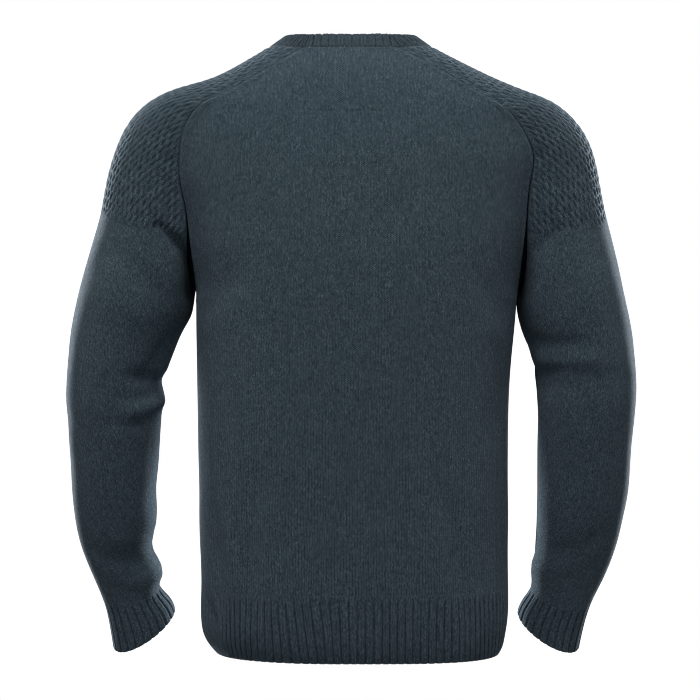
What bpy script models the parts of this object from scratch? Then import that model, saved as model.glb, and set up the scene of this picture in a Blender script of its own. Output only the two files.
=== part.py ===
"""A men's v-neck sweater, filled out as if worn: saddle shoulders, long sleeves, ribbed neckband, hem and cuffs.

Units are metres in Blender and millimetres in the tables below. +Z is up, the wearer faces -Y, and the wearer's left is +X.
The origin is in the neck opening, level with the seam of the back neck, on the middle line and between front and back."""

import math

import bmesh
import bpy
import numpy as np

MM = 0.001

# ---- named sizes, mm ----
CLOTH = 2.6  # plain knit wall
RIB = 3.2  # ribbed wall
GAP = 0.45  # each piece's edge stands this far back from the line of its seam
MIDDLE_Y = -6.0  # the side seams run down this line
BAND_WIDTH = 24.0  # neckband, from its seam to its free edge
NECK_Z = 0.0  # back neck seam
V_Z = -235.0  # point of the V, on the seam
V_TOP_X, V_TOP_Z = 72.0, -18.0  # where the V's seam meets the saddle's front seam
UNDERARM_Z = -276.0
HEM_TOP_Z = -592.0
HEM_Z = -666.0
UNDERARM = 11  # row of the cap tables at which the sleeve closes

# ---- how many faces each piece has: panel rows below and above the underarm, sleeve rows below it ----
PANEL_ROWS_LOW, PANEL_ROWS_HIGH, PANEL_COLUMNS = 8, 12, 9
SLEEVE_ROWS, SLEEVE_COLUMNS = 14, 16
WELT_ROWS, CUFF_ROWS = 3, 2
BAND_ROWS = 2
YOKE_ROW, YOKE_RISE = 9, 22.0  # the row at which the yoke ends, and how much higher it ends over the arm than at the armhole

# ---- the torso: depth of its level sections behind and before the middle, and how square each half is (2 is an ellipse) ----
DEPTH_COLUMNS = ("z", "back", "front", "square_left", "square_right")
DEPTH = [
    (0, 74, 40, 2.5, 2.5),
    (-18, 87, 53, 2.5, 2.5),
    (-38, 97, 72, 2.5, 2.5),
    (-60, 104, 86, 2.5, 2.5),
    (-80, 109, 95, 2.5, 2.5),
    (-105, 114, 104, 2.5, 2.5),
    (-136, 118, 112, 2.5, 2.5),
    (-170, 121, 119, 2.5, 2.5),
    (-210, 124, 124, 2.5, 2.5),
    (-260, 125, 129, 2.5, 2.5),
    (-330, 123, 128, 2.5, 2.5),
    (-420, 120, 123, 2.6, 2.6),
    (-510, 120, 119, 2.7, 2.7),
    (-592, 122, 118, 2.8, 2.8),
    (-640, 121, 117, 2.8, 3),
    (-658, 118, 114, 2.7, 3.1),
    (-666, 115, 111, 2.6, 3.2),
]

# ---- the torso's half width below the armholes, from the middle to each side seam ----
SIDE_COLUMNS = ("z", "left", "right")
SIDE = [
    (-276, 174, 184),
    (-300, 174, 182),
    (-340, 173.5, 178),
    (-390, 172.5, 175),
    (-450, 171.5, 174),
    (-540, 169.5, 174),
    (-592, 168, 174),
    (-630, 168, 173),
    (-648, 164, 170),
    (-659, 157, 167),
    (-666, 151, 163),
]

# ---- the sleeves' caps, from the neck to the underarm. A row is one section: its top point, then the seam behind and the seam before
# (how far out and how high each is), the half depth of the section on that side, and how far round from the top the seam is, in degrees.
CAP_COLUMNS = (
    "top_x", "top_y", "top_z",
    "back_x", "back_z", "back_w", "back_turn",
    "front_x", "front_z", "front_w", "front_turn",
)  # fmt: skip
CAP = {
    "left": [
        (94, 5, 6, 52, 0, 67, 75, 72, -18, 57, 75),
        (121, 3, -10, 91, -23, 81, 70, 103, -38, 73, 70),
        (156, 1, -27.5, 130, -47, 90, 70, 136, -60, 83, 70),
        (201, 0, -41, 161, -62, 90, 75, 160, -76, 83, 75),
        (231, -2, -57, 176, -78, 86, 84, 171, -92, 77, 84),
        (251, -3, -79, 185, -99, 82, 92, 177, -113, 72, 92),
        (264, -4, -106, 188, -124, 78, 100, 178, -136, 67, 100),
        (274, -5, -139, 187, -149, 75, 107, 176, -160, 64, 109),
        (280, -5, -171, 182, -173, 72, 115, 173, -182, 62, 120),
        (288, -6, -201, 179, -201, 69, 124, 172, -208, 62, 133),
        (297, -6, -231, 175, -233, 67, 140, 172, -238, 63, 149),
        (305, -6, -263, 174, -276, 66, 180, 174, -276, 66, 180),
    ],
    "right": [
        (91, 5, 6, 48, 0, 67, 75, 72, -18, 57, 75),
        (118, 3, -8, 88, -21, 81, 70, 103, -38, 73, 70),
        (152, 1, -24.5, 127, -45, 90, 70, 136, -60, 83, 70),
        (192, 0, -41, 162, -65, 90, 75, 160, -76, 83, 75),
        (226, -2, -55, 176, -79, 86, 84, 173, -92, 77, 84),
        (251.5, -3, -77, 188, -96, 82, 92, 181, -113, 72, 92),
        (266.5, -4, -102, 197, -118, 78, 100, 185, -136, 67, 100),
        (275.5, -5, -135, 195, -143, 75, 107, 183, -160, 64, 109),
        (281.5, -5, -167, 192, -168, 72, 115, 180, -182, 62, 120),
        (289, -6, -198, 190, -198, 69, 124, 179, -208, 62, 133),
        (297, -6, -229, 186, -233, 67, 140, 180, -238, 63, 149),
        (303.5, -6, -260, 184, -276, 66, 180, 184, -276, 66, 180),
    ],
}

# ---- the sleeves below the underarm. A row is one closed section: its outer point, its inner point, how far back its middle is,
# its half depth, and how far the forearm leans forward there, in degrees. The last three rows are the cuff.
ARM_COLUMNS = ("outer_x", "outer_z", "inner_x", "inner_z", "middle_y", "half_depth", "lean")
ARM = {
    "left": [
        (312, -292, 188, -305, -8, 62, 2),
        (317, -328, 203, -338, -10, 58, 4),
        (320, -366, 213, -374, -12, 54, 6),
        (320, -404, 215.5, -409, -16, 51, 9),
        (318, -445, 218.5, -449, -22, 47, 12),
        (317, -486, 222, -489, -30, 44, 14),
        (313, -529, 223.5, -527, -39, 40, 16),
        (303, -568, 227, -557, -49, 36, 17),
        (295, -590, 218, -580, -55, 34, 17.5),
        (286, -612, 221, -600, -60, 32, 19),
        (280, -640, 211, -617, -66, 34, 22),
        (275, -670.5, 204, -631, -73, 37, 26),
    ],
    "right": [
        (311, -296, 192, -311, -8, 62, 2),
        (316, -330, 204, -342, -10, 58, 4),
        (319, -366, 208.5, -375, -12, 54, 6),
        (317.5, -404, 210, -409, -16, 51, 9),
        (314.5, -445, 210, -449, -22, 47, 12),
        (313, -486, 210.5, -489, -30, 44, 14),
        (306, -529, 210.5, -527, -39, 40, 16),
        (297, -565, 209, -559, -49, 36, 17),
        (287.5, -590, 206, -580, -55, 34, 17.5),
        (275, -617, 206, -602, -60, 32, 19),
        (267.5, -642, 197, -619, -66, 34, 22),
        (262, -670, 191, -634, -73, 38, 26),
    ],
}
SIGN = {"left": 1.0, "right": -1.0}

# ---- the largest folds, each a soft trough (depth under 0) or ridge along a short line. Across is measured round the cloth from the
# middle line of a panel or the top line of a sleeve (towards the back is above 0), along is the height, or the way down the top line.
FOLD_COLUMNS = ("piece", "across_0", "along_0", "across_1", "along_1", "depth", "half_width")
FOLDS = [
    ("sleeve_left", 95, 448, 168, 440, -6.0, 14),
    ("sleeve_left", -110, 448, -168, 440, -6.0, 14),
    ("sleeve_left", 90, 470, 160, 466, 2.5, 14),
    ("sleeve_right", 110, 470, 160, 474, -2.5, 18),
    ("back", 100, -470, 106, -590, -4.0, 18),
    ("back", -118, -500, -126, -590, -3.5, 18),
    ("front", 70, -430, 88, -585, -3.5, 20),
    ("front", -78, -470, -92, -590, -3.5, 20),
]


# ---- curves ----
def bend(stops, values):
    """Second derivatives of the natural cubic through values at stops."""
    n, h = len(stops), np.diff(stops)
    a, r = np.eye(n), np.zeros_like(values)
    for i in range(1, n - 1):
        a[i, i - 1 : i + 2] = h[i - 1], 2 * (h[i - 1] + h[i]), h[i]
        r[i] = 6 * ((values[i + 1] - values[i]) / h[i] - (values[i] - values[i - 1]) / h[i - 1])
    return np.linalg.solve(a, r)


class Curve:
    """A smooth curve through a table's rows, read at any place along its stops."""

    def __init__(self, stops, values):
        self.stops, self.values = np.asarray(stops, float), np.asarray(values, float)
        self.bends = bend(self.stops, self.values)

    def __call__(self, x):
        x = np.asarray(x, float)
        t, v, m = self.stops, self.values, self.bends
        i = np.clip(np.searchsorted(t, x, side="right") - 1, 0, len(t) - 2)
        h = t[i + 1] - t[i]
        a, b = (t[i + 1] - x) / h, (x - t[i]) / h
        if v.ndim > 1:
            h, a, b = h[..., None], a[..., None], b[..., None]
        return a * v[i] + b * v[i + 1] + ((a**3 - a) * m[i] + (b**3 - b) * m[i + 1]) * h**2 / 6


def step(a, b, x):
    t = np.clip((np.asarray(x, float) - a) / (b - a), 0, 1)
    return t * t * (3 - 2 * t)


def lengths(points):
    """How far along a line of points each one is."""
    return np.concatenate([[0], np.cumsum(np.linalg.norm(np.diff(points, axis=0), axis=1))])


def at_lengths(points, where):
    run = lengths(points)
    return np.stack([np.interp(where, run, points[:, k]) for k in range(3)], 1)


# ---- sleeves ----
class Sleeve:
    """The surface of one sleeve. along runs down its top line from the neck, in mm, and turn goes round from the top line: -1 at the
    seam before, +1 at the seam behind. Below the underarm the two meet."""

    def __init__(self, side):
        self.sign = SIGN[side]
        cap = [dict(zip(CAP_COLUMNS, row)) for row in CAP[side]]
        arm = [dict(zip(ARM_COLUMNS, row)) for row in ARM[side]]
        rows = [
            (c["top_x"], c["top_y"], c["top_z"], c["back_x"], c["back_z"], c["back_w"], c["front_x"], c["front_z"], c["front_w"], 0)
            for c in cap
        ] + [
            (a["outer_x"], a["middle_y"], a["outer_z"], a["inner_x"], a["inner_z"], a["half_depth"], a["inner_x"], a["inner_z"], a["half_depth"], a["lean"])
            for a in arm
        ]  # fmt: skip
        rows = np.array(rows, float)
        self.stops = lengths(rows[:, :3])
        self.shape = Curve(self.stops, rows)
        self.closed = self.stops[UNDERARM]
        self.cuff = self.stops[-3]
        self.end = self.stops[-1]
        turns = np.array([(c["back_turn"], c["front_turn"]) for c in cap], float)
        self.turns = Curve(self.stops[: len(cap)], turns)

    def point(self, along, turn):
        along, turn = np.broadcast_arrays(np.asarray(along, float), np.asarray(turn, float))
        row = self.shape(along)
        most = np.where((along < self.closed)[..., None], np.minimum(self.turns(np.minimum(along, self.closed)), 180), 180)
        behind = turn >= 0
        top = row[..., 0:3]
        one = along >= self.closed
        edge_x, edge_z, half = (
            np.where(one, (row[..., k] + row[..., k + 3]) / 2, np.where(behind, row[..., k], row[..., k + 3])) for k in (3, 4, 5)
        )
        full = np.radians(np.where(behind, most[..., 0], most[..., 1]))
        lean = np.radians(row[..., 9])
        angle = np.abs(turn) * full
        # a small step out of the armhole, so that sleeve and panels stay apart round the underarm
        away = 0.6 * step(self.closed - 90, self.closed - 20, along) * (1 - step(self.closed + 20, self.closed + 60, along))
        reach = (1 - np.cos(angle)) / (1 - np.cos(full))
        side = np.where(behind, 1, -1) * half * np.sin(angle)
        x = top[..., 0] - (top[..., 0] - edge_x - away) * reach
        y = top[..., 1] + side * np.cos(lean)
        z = top[..., 2] - (top[..., 2] - edge_z) * reach - side * np.sin(lean)
        return np.stack([self.sign * x, y, z], -1)

    def seam(self, behind, z):
        """The seam's point at a height."""
        return self.point(self.place(behind, z), 1.0 if behind else -1.0)

    def place(self, behind, z):
        """How far down the sleeve its seam has come at a height."""
        places = np.linspace(0, self.closed, 800)
        heights = self.point(places, 1.0 if behind else -1.0)[:, 2]
        return np.interp(z, heights[::-1], places[::-1])


SLEEVE = {side: Sleeve(side) for side in SIGN}
DEEP = Curve([-row[0] for row in DEPTH], np.array([row[1:] for row in DEPTH], float))
WIDE = Curve([-row[0] for row in SIDE], np.array([row[1:] for row in SIDE], float))


# ---- torso ----
def edge(side, behind, z):
    """Where a panel ends at a height: on the side seam, or on the sleeve's seam."""
    if z <= UNDERARM_Z:
        width = WIDE(-z)[0 if side == "left" else 1]
        return np.array([SIGN[side] * width, MIDDLE_Y, z])
    return SLEEVE[side].seam(behind, z)


def half_row(side, behind, z, steps=240):
    """Points of one level section, from the middle line to the panel's edge."""
    end = edge(side, behind, z)
    back, front, *squares = DEEP(-z)
    square = squares[0 if side == "left" else 1]
    depth = back - MIDDLE_Y if behind else front + MIDDLE_Y
    out = (end[1] - MIDDLE_Y) / depth * (1 if behind else -1)
    out = min(max(out, 0.0), 0.995)
    last = math.acos(out ** (square / 2))
    angle = np.linspace(0, 1, steps) ** 1.25 * last
    reach = np.sin(angle) ** (2 / square)
    x = end[0] * reach / reach[-1]
    y = MIDDLE_Y + (1 if behind else -1) * depth * np.cos(angle) ** (2 / square)
    return np.stack([x, y, np.full(steps, z)], 1)


def v_x(z):
    """The V's seam: how far from the middle it is at a height."""
    return V_TOP_X * np.clip((z - V_Z) / (V_TOP_Z - V_Z), 0, 1) ** 0.92


def back_row(z, places):
    """places run from -1 at the right edge to 1 at the left edge."""
    places = np.asarray(places, float)
    found = np.zeros((len(places), 3))
    for side in SIGN:
        line = half_row(side, True, z)
        room = lengths(line)[-1] - GAP
        pick = places * SIGN[side] >= 0
        found[pick] = at_lengths(line, np.abs(places[pick]) * room)
    return found


def front_row(side, z, places):
    """places run from 0 at the middle line or the V to 1 at the edge."""
    line = half_row(side, False, z)
    run = lengths(line)
    start = np.interp(v_x(z), np.abs(line[:, 0]), run) + GAP if z > V_Z else 0.0
    return at_lengths(line, start + np.asarray(places, float) * (run[-1] - GAP - start))


# ---- folds ----
def folded(name, points, across, along):
    """Points moved in and out along the surface's normal by the folds of that piece."""
    rows = [dict(zip(FOLD_COLUMNS, row)) for row in FOLDS if row[0] == name]
    if not rows:
        return points
    out = normals(points)
    push = np.zeros(points.shape[:2])
    for f in rows:
        a, b = np.array([f["across_0"], f["along_0"]]), np.array([f["across_1"], f["along_1"]])
        d = b - a
        t = ((across - a[0]) * d[0] + (along - a[1]) * d[1]) / (d @ d)
        near = np.clip(t, 0, 1)
        off2 = (across - a[0] - near * d[0]) ** 2 + (along - a[1] - near * d[1]) ** 2
        push += f["depth"] * np.exp(-off2 / f["half_width"] ** 2)
    return points + out * push[..., None]


def normals(points):
    """Outward normals of a grid whose columns turn from front to back on a sleeve, or across a panel."""
    du, dv = np.gradient(points, axis=1), np.gradient(points, axis=0)
    n = np.cross(du, dv)
    return n / np.maximum(np.linalg.norm(n, axis=2, keepdims=True), 1e-9)


# ---- meshes ----
def material(name, colour, roughness):
    m = bpy.data.materials.new(name)
    m.use_nodes = True
    shader = m.node_tree.nodes["Principled BSDF"]
    shader.inputs["Base Color"].default_value = (*colour, 1)
    shader.inputs["Roughness"].default_value = roughness
    shader.inputs["Metallic"].default_value = 0
    return m


def cloth(name, grids, thickness, finish, collection):
    """One piece: its grids of points as an open surface, joined where they share points, with a wall solidified inwards."""
    bm = bmesh.new()
    for points in grids:
        rows, columns = points.shape[:2]
        corner = [[bm.verts.new(points[r, c] * MM) for c in range(columns)] for r in range(rows)]
        for r in range(rows - 1):
            for c in range(columns - 1):
                bm.faces.new((corner[r][c], corner[r][c + 1], corner[r + 1][c + 1], corner[r + 1][c]))
    bmesh.ops.remove_doubles(bm, verts=bm.verts, dist=0.00002)
    mesh = bpy.data.meshes.new(name)
    bm.to_mesh(mesh)
    bm.free()
    mesh.shade_smooth()
    mesh.materials.append(finish)
    piece = bpy.data.objects.new(name, mesh)
    collection.objects.link(piece)
    wall = piece.modifiers.new("wall", "SOLIDIFY")
    wall.thickness = thickness * MM
    wall.offset = -1
    wall.use_rim = True
    return piece


def heights(behind, low=PANEL_ROWS_LOW, high=PANEL_ROWS_HIGH):
    """The heights of a panel's rows, from the hem up. The sleeves' rows end at the same heights as those above the underarm."""
    lower = np.linspace(HEM_TOP_Z + GAP, UNDERARM_Z, low + 1)
    if behind:
        rise = np.linspace(0, 1, high + 1)[1:] ** 0.85
        return np.concatenate([lower, UNDERARM_Z + rise * (NECK_Z - GAP - UNDERARM_Z)])
    return np.concatenate([lower, np.linspace(V_Z, V_TOP_Z - 2.5, high)])


def back_grid(columns=PANEL_COLUMNS):
    places = np.linspace(-1, 1, 2 * columns + 1)
    points = np.array([back_row(z, places) for z in heights(True)])[:, ::-1]
    across = run_from(points, columns)
    return folded("back", points, across, points[..., 2])


def run_from(points, middle):
    """How far along its row each point is from the row's point number middle, above 0 towards +X on panels."""
    run = np.concatenate([np.zeros((len(points), 1)), np.cumsum(np.linalg.norm(np.diff(points, axis=1), axis=2), axis=1)], 1)
    run = run - run[:, middle : middle + 1]
    return run * np.sign(points[:, :1, 0] - points[:, -1:, 0]) * -1


def front_grids(columns=PANEL_COLUMNS):
    """The panel's two halves. They share their points on the middle line up to the V, and part above it."""
    rows = heights(False)
    places = np.linspace(0, 1, columns + 1)
    middle = np.where(rows > V_Z, v_x(rows), 0)[:, None]
    halves = []
    for side in ("right", "left"):
        points = np.array([front_row(side, z, places) for z in rows])
        across = SIGN[side] * (middle + np.abs(run_from(points, 0)))
        if side == "right":
            points, across = points[:, ::-1], across[:, ::-1]
        halves.append(folded("front", points, across, points[..., 2]))
    return halves


def sleeve_grids(side, rows=SLEEVE_ROWS, columns=SLEEVE_COLUMNS):
    """The textured yoke with its saddle, and the plain sleeve below it. They part at the course where the stitch changes, which lies
    higher over the arm than at the armhole."""
    sleeve = SLEEVE[side]
    ends = np.array([[sleeve.place(behind, z) for z in heights(behind)[PANEL_ROWS_LOW:][::-1]] for behind in (False, True)])
    ends[:, 0] = GAP
    ends[:, -1] = sleeve.closed
    ends = np.concatenate([ends[:, :YOKE_ROW], ends[:, YOKE_ROW, None] + [[-GAP, GAP]], ends[:, YOKE_ROW + 1 :]], axis=1)
    below = np.linspace(sleeve.closed, sleeve.cuff - GAP, rows + 1)[1:]
    ends = np.concatenate([ends, [below, below]], axis=1)
    alongs = ends.mean(axis=0)
    alongs = alongs - YOKE_RISE * np.exp(-(((alongs - alongs[YOKE_ROW]) / 60) ** 2))
    alongs[0] = GAP
    turns = np.linspace(-1, 1, columns + 1)
    fine = np.linspace(-1, 1, 241)
    points = np.empty((len(alongs), len(turns), 3))
    across = np.empty((len(alongs), len(turns)))
    for i, along in enumerate(alongs):
        line = sleeve.point(along + (np.where(fine < 0, *ends[:, i]) - along) * np.abs(fine) ** 1.5, fine)
        run = lengths(line)
        top = run[120]
        held = 0.0 if ends[0, i] >= sleeve.closed - 1e-6 else GAP
        across[i] = np.where(turns < 0, turns * (top - held), turns * (run[-1] - held - top))
        points[i] = at_lengths(line, top + across[i])
    if side == "left":
        points, across = points[:, ::-1], across[:, ::-1]
    points = folded("sleeve_" + side, points, across, np.repeat(alongs[:, None], len(turns), 1))
    return points[: YOKE_ROW + 1], points[YOKE_ROW + 1 :]


def cuff_grid(side, rows=CUFF_ROWS, columns=SLEEVE_COLUMNS):
    sleeve = SLEEVE[side]
    alongs = np.linspace(sleeve.cuff + GAP, sleeve.end, rows + 1)
    turns = np.linspace(-1, 1, columns + 1)
    points = np.array([sleeve.point(a, turns) for a in alongs])
    return points[:, ::-1] if side == "left" else points


def welt_grid(behind, rows=WELT_ROWS, columns=PANEL_COLUMNS):
    """The ribbed hem below one panel."""
    places = np.linspace(-1, 1, 2 * columns + 1)
    heights = HEM_TOP_Z - GAP + (HEM_Z - HEM_TOP_Z + GAP) * np.linspace(0, 1, rows + 1) ** 0.8
    points = np.zeros((len(heights), len(places), 3))
    for i, z in enumerate(heights):
        for side in SIGN:
            line = half_row(side, behind, z)
            room = lengths(line)[-1] - GAP
            pick = places * SIGN[side] >= 0
            points[i, pick] = at_lengths(line, np.abs(places[pick]) * room)
    return points if behind else points[:, ::-1]


def neck_line(side, steps=300):
    """The neckband's seam on one side, from the middle of the back to the point of the V: its points, how far the line keeps off the two
    corners at the saddle's seams, and where along it the pieces below have their corners."""
    sleeve = SLEEVE[side]
    back = half_row(side, True, NECK_Z)
    over = sleeve.point(0.0, np.linspace(1, -1, 81))
    down = []
    for z in np.linspace(over[-1, 2], V_Z, 160)[1:]:
        row = half_row(side, False, z)
        x = v_x(z)
        down.append([SIGN[side] * x, np.interp(x, np.abs(row[:, 0]), row[:, 1]), z])
    line = np.concatenate([back[:-1], over, np.array(down)])
    run = lengths(line)
    seam_behind, top, seam_before = (run[len(back) - 1 + k] for k in (0, 40, 80))
    lowest = len(back) + 79
    falls = np.interp(-heights(False)[PANEL_ROWS_LOW + 1 : -1][::-1], -line[lowest:, 2], run[lowest:])
    half = SLEEVE_COLUMNS // 2
    marks = np.concatenate(
        [
            np.linspace(0, seam_behind, PANEL_COLUMNS + 1)[:-1],
            np.linspace(seam_behind, top, half + 1)[:-1],
            np.linspace(top, seam_before, half + 1),
            falls,
        ]
    )
    even = at_lengths(line, np.linspace(0, run[-1], steps))
    soft = even.copy()
    for _ in range(6):
        soft[1:-1] = soft[1:-1] * 0.5 + (soft[:-2] + soft[2:]) * 0.25
    kept_off = np.linalg.norm(soft - even, axis=1)
    marks = np.interp(marks, np.linspace(0, run[-1], steps), lengths(soft))
    return soft, kept_off, marks


def band_half(side, rows=BAND_ROWS):
    """One half of the neckband, from the middle of the back to the mitre at the point of the V."""
    line, kept_off, marks = neck_line(side)
    run = lengths(line)
    tangent = np.gradient(line, axis=0)
    tangent /= np.linalg.norm(tangent, axis=1, keepdims=True)
    inward = (np.array([0, 6.0, 0]) - line) * (1, 1, 0)
    inward /= np.linalg.norm(inward, axis=1, keepdims=True)
    # it leans in by 47 degrees behind and by 54 over the shoulders
    stand = np.radians(47 + 7 * step(30, 85, np.abs(line[:, 0])))[:, None]
    upright = inward * np.sin(stand) + np.array([0, 0, 1]) * np.cos(stand)
    # on the chest the band lies in the slope of the front
    slope = np.stack([-SIGN[side] * np.ones(len(line)), np.zeros(len(line)), np.full(len(line), 0.35)], 1)
    slope[:, 1] = -0.18 + 0.5 * step(V_Z, -40, line[:, 2])
    on_chest = step(-25, -95, line[:, 2]) * (line[:, 1] < 0)
    way = upright * (1 - on_chest[:, None]) + slope * on_chest[:, None]
    way -= tangent * np.sum(way * tangent, axis=1, keepdims=True)
    way /= np.linalg.norm(way, axis=1, keepdims=True)
    half_angle = math.atan2(abs(tangent[-1, 0]), abs(tangent[-1, 2]))
    chest = marks[-11]
    grid = np.zeros((rows + 1, len(marks), 3))
    for r in range(rows + 1):
        width = GAP + (BAND_WIDTH - GAP) * r / rows
        short = width / math.tan(half_angle)
        places = marks - short * np.clip((marks - chest) / (run[-1] - chest), 0, 1)
        lift = np.stack([np.interp(places, run, way[:, k]) for k in range(3)], 1)
        lift /= np.linalg.norm(lift, axis=1, keepdims=True)
        off = 1.5 * np.interp(places, run, kept_off)[:, None] if r == 0 else 0
        grid[r] = at_lengths(line, places) + lift * (width + off)
    return grid


def band_grids():
    """The neckband's two halves, which share their points at the middle of the back and on the mitre."""
    left, right = (band_half(side) for side in ("left", "right"))
    for c in (0, -1):
        shared = (left[:, c] + right[:, c]) / 2 * (0, 1, 1)
        left[:, c] = right[:, c] = shared
    return [left[:, ::-1], right]


def build():
    for o in list(bpy.data.objects):
        bpy.data.objects.remove(o, do_unlink=True)
    sweater = bpy.data.collections.new("v_neck_sweater")
    bpy.context.scene.collection.children.link(sweater)

    plain = material("heather_knit", (0.040, 0.062, 0.078), 0.95)
    yoke = material("textured_knit", (0.042, 0.064, 0.080), 0.95)
    ribbed = material("ribbed_knit", (0.034, 0.052, 0.066), 0.95)

    cloth("back", [back_grid()], CLOTH, plain, sweater)
    cloth("front", front_grids(), CLOTH, plain, sweater)
    for side in SIGN:
        upper, lower = sleeve_grids(side)
        cloth("yoke_" + side, [upper], CLOTH, yoke, sweater)
        cloth("sleeve_" + side, [lower], CLOTH, plain, sweater)
    cloth("neckband", band_grids(), RIB, ribbed, sweater)
    cloth("hem_back", [welt_grid(True)], RIB, ribbed, sweater)
    cloth("hem_front", [welt_grid(False)], RIB, ribbed, sweater)
    cloth("cuff_left", [cuff_grid("left")], RIB, ribbed, sweater)
    cloth("cuff_right", [cuff_grid("right")], RIB, ribbed, sweater)


build()
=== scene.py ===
"""The looks of a men's v-neck sweater in heathered wool, filled out as if worn, built as thin knitted shells on the form of its solids.

Lengths in the tables are millimetres, in the frame of the solids: +Z up, the wearer faces -Y, the wearer's left is +X."""

import math

import bmesh
import bpy
import numpy as np
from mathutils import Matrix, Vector


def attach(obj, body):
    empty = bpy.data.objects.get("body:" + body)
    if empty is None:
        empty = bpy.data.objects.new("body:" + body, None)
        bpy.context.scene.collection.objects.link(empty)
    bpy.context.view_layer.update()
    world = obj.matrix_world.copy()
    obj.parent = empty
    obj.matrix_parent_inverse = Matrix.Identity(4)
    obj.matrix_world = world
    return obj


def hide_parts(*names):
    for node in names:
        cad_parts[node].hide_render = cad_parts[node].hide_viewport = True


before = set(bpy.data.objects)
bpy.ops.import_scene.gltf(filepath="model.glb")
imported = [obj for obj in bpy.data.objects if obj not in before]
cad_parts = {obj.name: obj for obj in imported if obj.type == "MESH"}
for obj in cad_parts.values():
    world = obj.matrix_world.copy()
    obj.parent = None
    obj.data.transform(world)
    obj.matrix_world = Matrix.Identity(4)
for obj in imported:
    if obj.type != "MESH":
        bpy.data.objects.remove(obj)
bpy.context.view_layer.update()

MM = 0.001

# ---- the garment's own sizes, as in its solids ----
CLOTH = 2.6
RIB = 3.2
CLOSE = 0.06  # how far each shell's edge stands back from the line of its seam
MIDDLE_Y = -6.0
BAND_WIDTH = 24.0
NECK_Z = 0.0
V_Z = -235.0
V_TOP_X, V_TOP_Z = 72.0, -18.0
UNDERARM_Z = -276.0
HEM_TOP_Z = -592.0
HEM_Z = -666.0
UNDERARM = 11

# ---- the knit ----
WALE, COURSE = 2.9, 2.2  # a stitch's width and height in the plain knit
YOKE_PITCH, YOKE_REPEAT, YOKE_COURSE = 3.8, 21.0, 3.6  # the yoke stitch: from column to column, along a column, and its courses
HEM_PITCH, BAND_PITCH, CUFF_PITCH = 8.65, 8.7, 8.7  # one rib and its groove

DEPTH_COLUMNS = ("z", "back", "front", "square_left", "square_right")
DEPTH = [
    (0, 74, 40, 2.5, 2.5),
    (-18, 87, 53, 2.5, 2.5),
    (-38, 97, 72, 2.5, 2.5),
    (-60, 104, 86, 2.5, 2.5),
    (-80, 109, 95, 2.5, 2.5),
    (-105, 114, 104, 2.5, 2.5),
    (-136, 118, 112, 2.5, 2.5),
    (-170, 121, 119, 2.5, 2.5),
    (-210, 124, 124, 2.5, 2.5),
    (-260, 125, 129, 2.5, 2.5),
    (-330, 123, 128, 2.5, 2.5),
    (-420, 120, 123, 2.6, 2.6),
    (-510, 120, 119, 2.7, 2.7),
    (-592, 122, 118, 2.8, 2.8),
    (-640, 121, 117, 2.8, 3),
    (-658, 118, 114, 2.7, 3.1),
    (-666, 115, 111, 2.6, 3.2),
]

SIDE_COLUMNS = ("z", "left", "right")
SIDE = [
    (-276, 174, 184),
    (-300, 174, 182),
    (-340, 173.5, 178),
    (-390, 172.5, 175),
    (-450, 171.5, 174),
    (-540, 169.5, 174),
    (-592, 168, 174),
    (-630, 168, 173),
    (-648, 164, 170),
    (-659, 157, 167),
    (-666, 151, 163),
]

CAP_COLUMNS = (
    "top_x", "top_y", "top_z",
    "back_x", "back_z", "back_w", "back_turn",
    "front_x", "front_z", "front_w", "front_turn",
)  # fmt: skip
CAP = {
    "left": [
        (94, 5, 6, 52, 0, 67, 75, 72, -18, 57, 75),
        (121, 3, -10, 91, -23, 81, 70, 103, -38, 73, 70),
        (156, 1, -27.5, 130, -47, 90, 70, 136, -60, 83, 70),
        (201, 0, -41, 161, -62, 90, 75, 160, -76, 83, 75),
        (231, -2, -57, 176, -78, 86, 84, 171, -92, 77, 84),
        (251, -3, -79, 185, -99, 82, 92, 177, -113, 72, 92),
        (264, -4, -106, 188, -124, 78, 100, 178, -136, 67, 100),
        (274, -5, -139, 187, -149, 75, 107, 176, -160, 64, 109),
        (280, -5, -171, 182, -173, 72, 115, 173, -182, 62, 120),
        (288, -6, -201, 179, -201, 69, 124, 172, -208, 62, 133),
        (297, -6, -231, 175, -233, 67, 140, 172, -238, 63, 149),
        (305, -6, -263, 174, -276, 66, 180, 174, -276, 66, 180),
    ],
    "right": [
        (91, 5, 6, 48, 0, 67, 75, 72, -18, 57, 75),
        (118, 3, -8, 88, -21, 81, 70, 103, -38, 73, 70),
        (152, 1, -24.5, 127, -45, 90, 70, 136, -60, 83, 70),
        (192, 0, -41, 162, -65, 90, 75, 160, -76, 83, 75),
        (226, -2, -55, 176, -79, 86, 84, 173, -92, 77, 84),
        (251.5, -3, -77, 188, -96, 82, 92, 181, -113, 72, 92),
        (266.5, -4, -102, 197, -118, 78, 100, 185, -136, 67, 100),
        (275.5, -5, -135, 195, -143, 75, 107, 183, -160, 64, 109),
        (281.5, -5, -167, 192, -168, 72, 115, 180, -182, 62, 120),
        (289, -6, -198, 190, -198, 69, 124, 179, -208, 62, 133),
        (297, -6, -229, 186, -233, 67, 140, 180, -238, 63, 149),
        (303.5, -6, -260, 184, -276, 66, 180, 184, -276, 66, 180),
    ],
}

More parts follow.
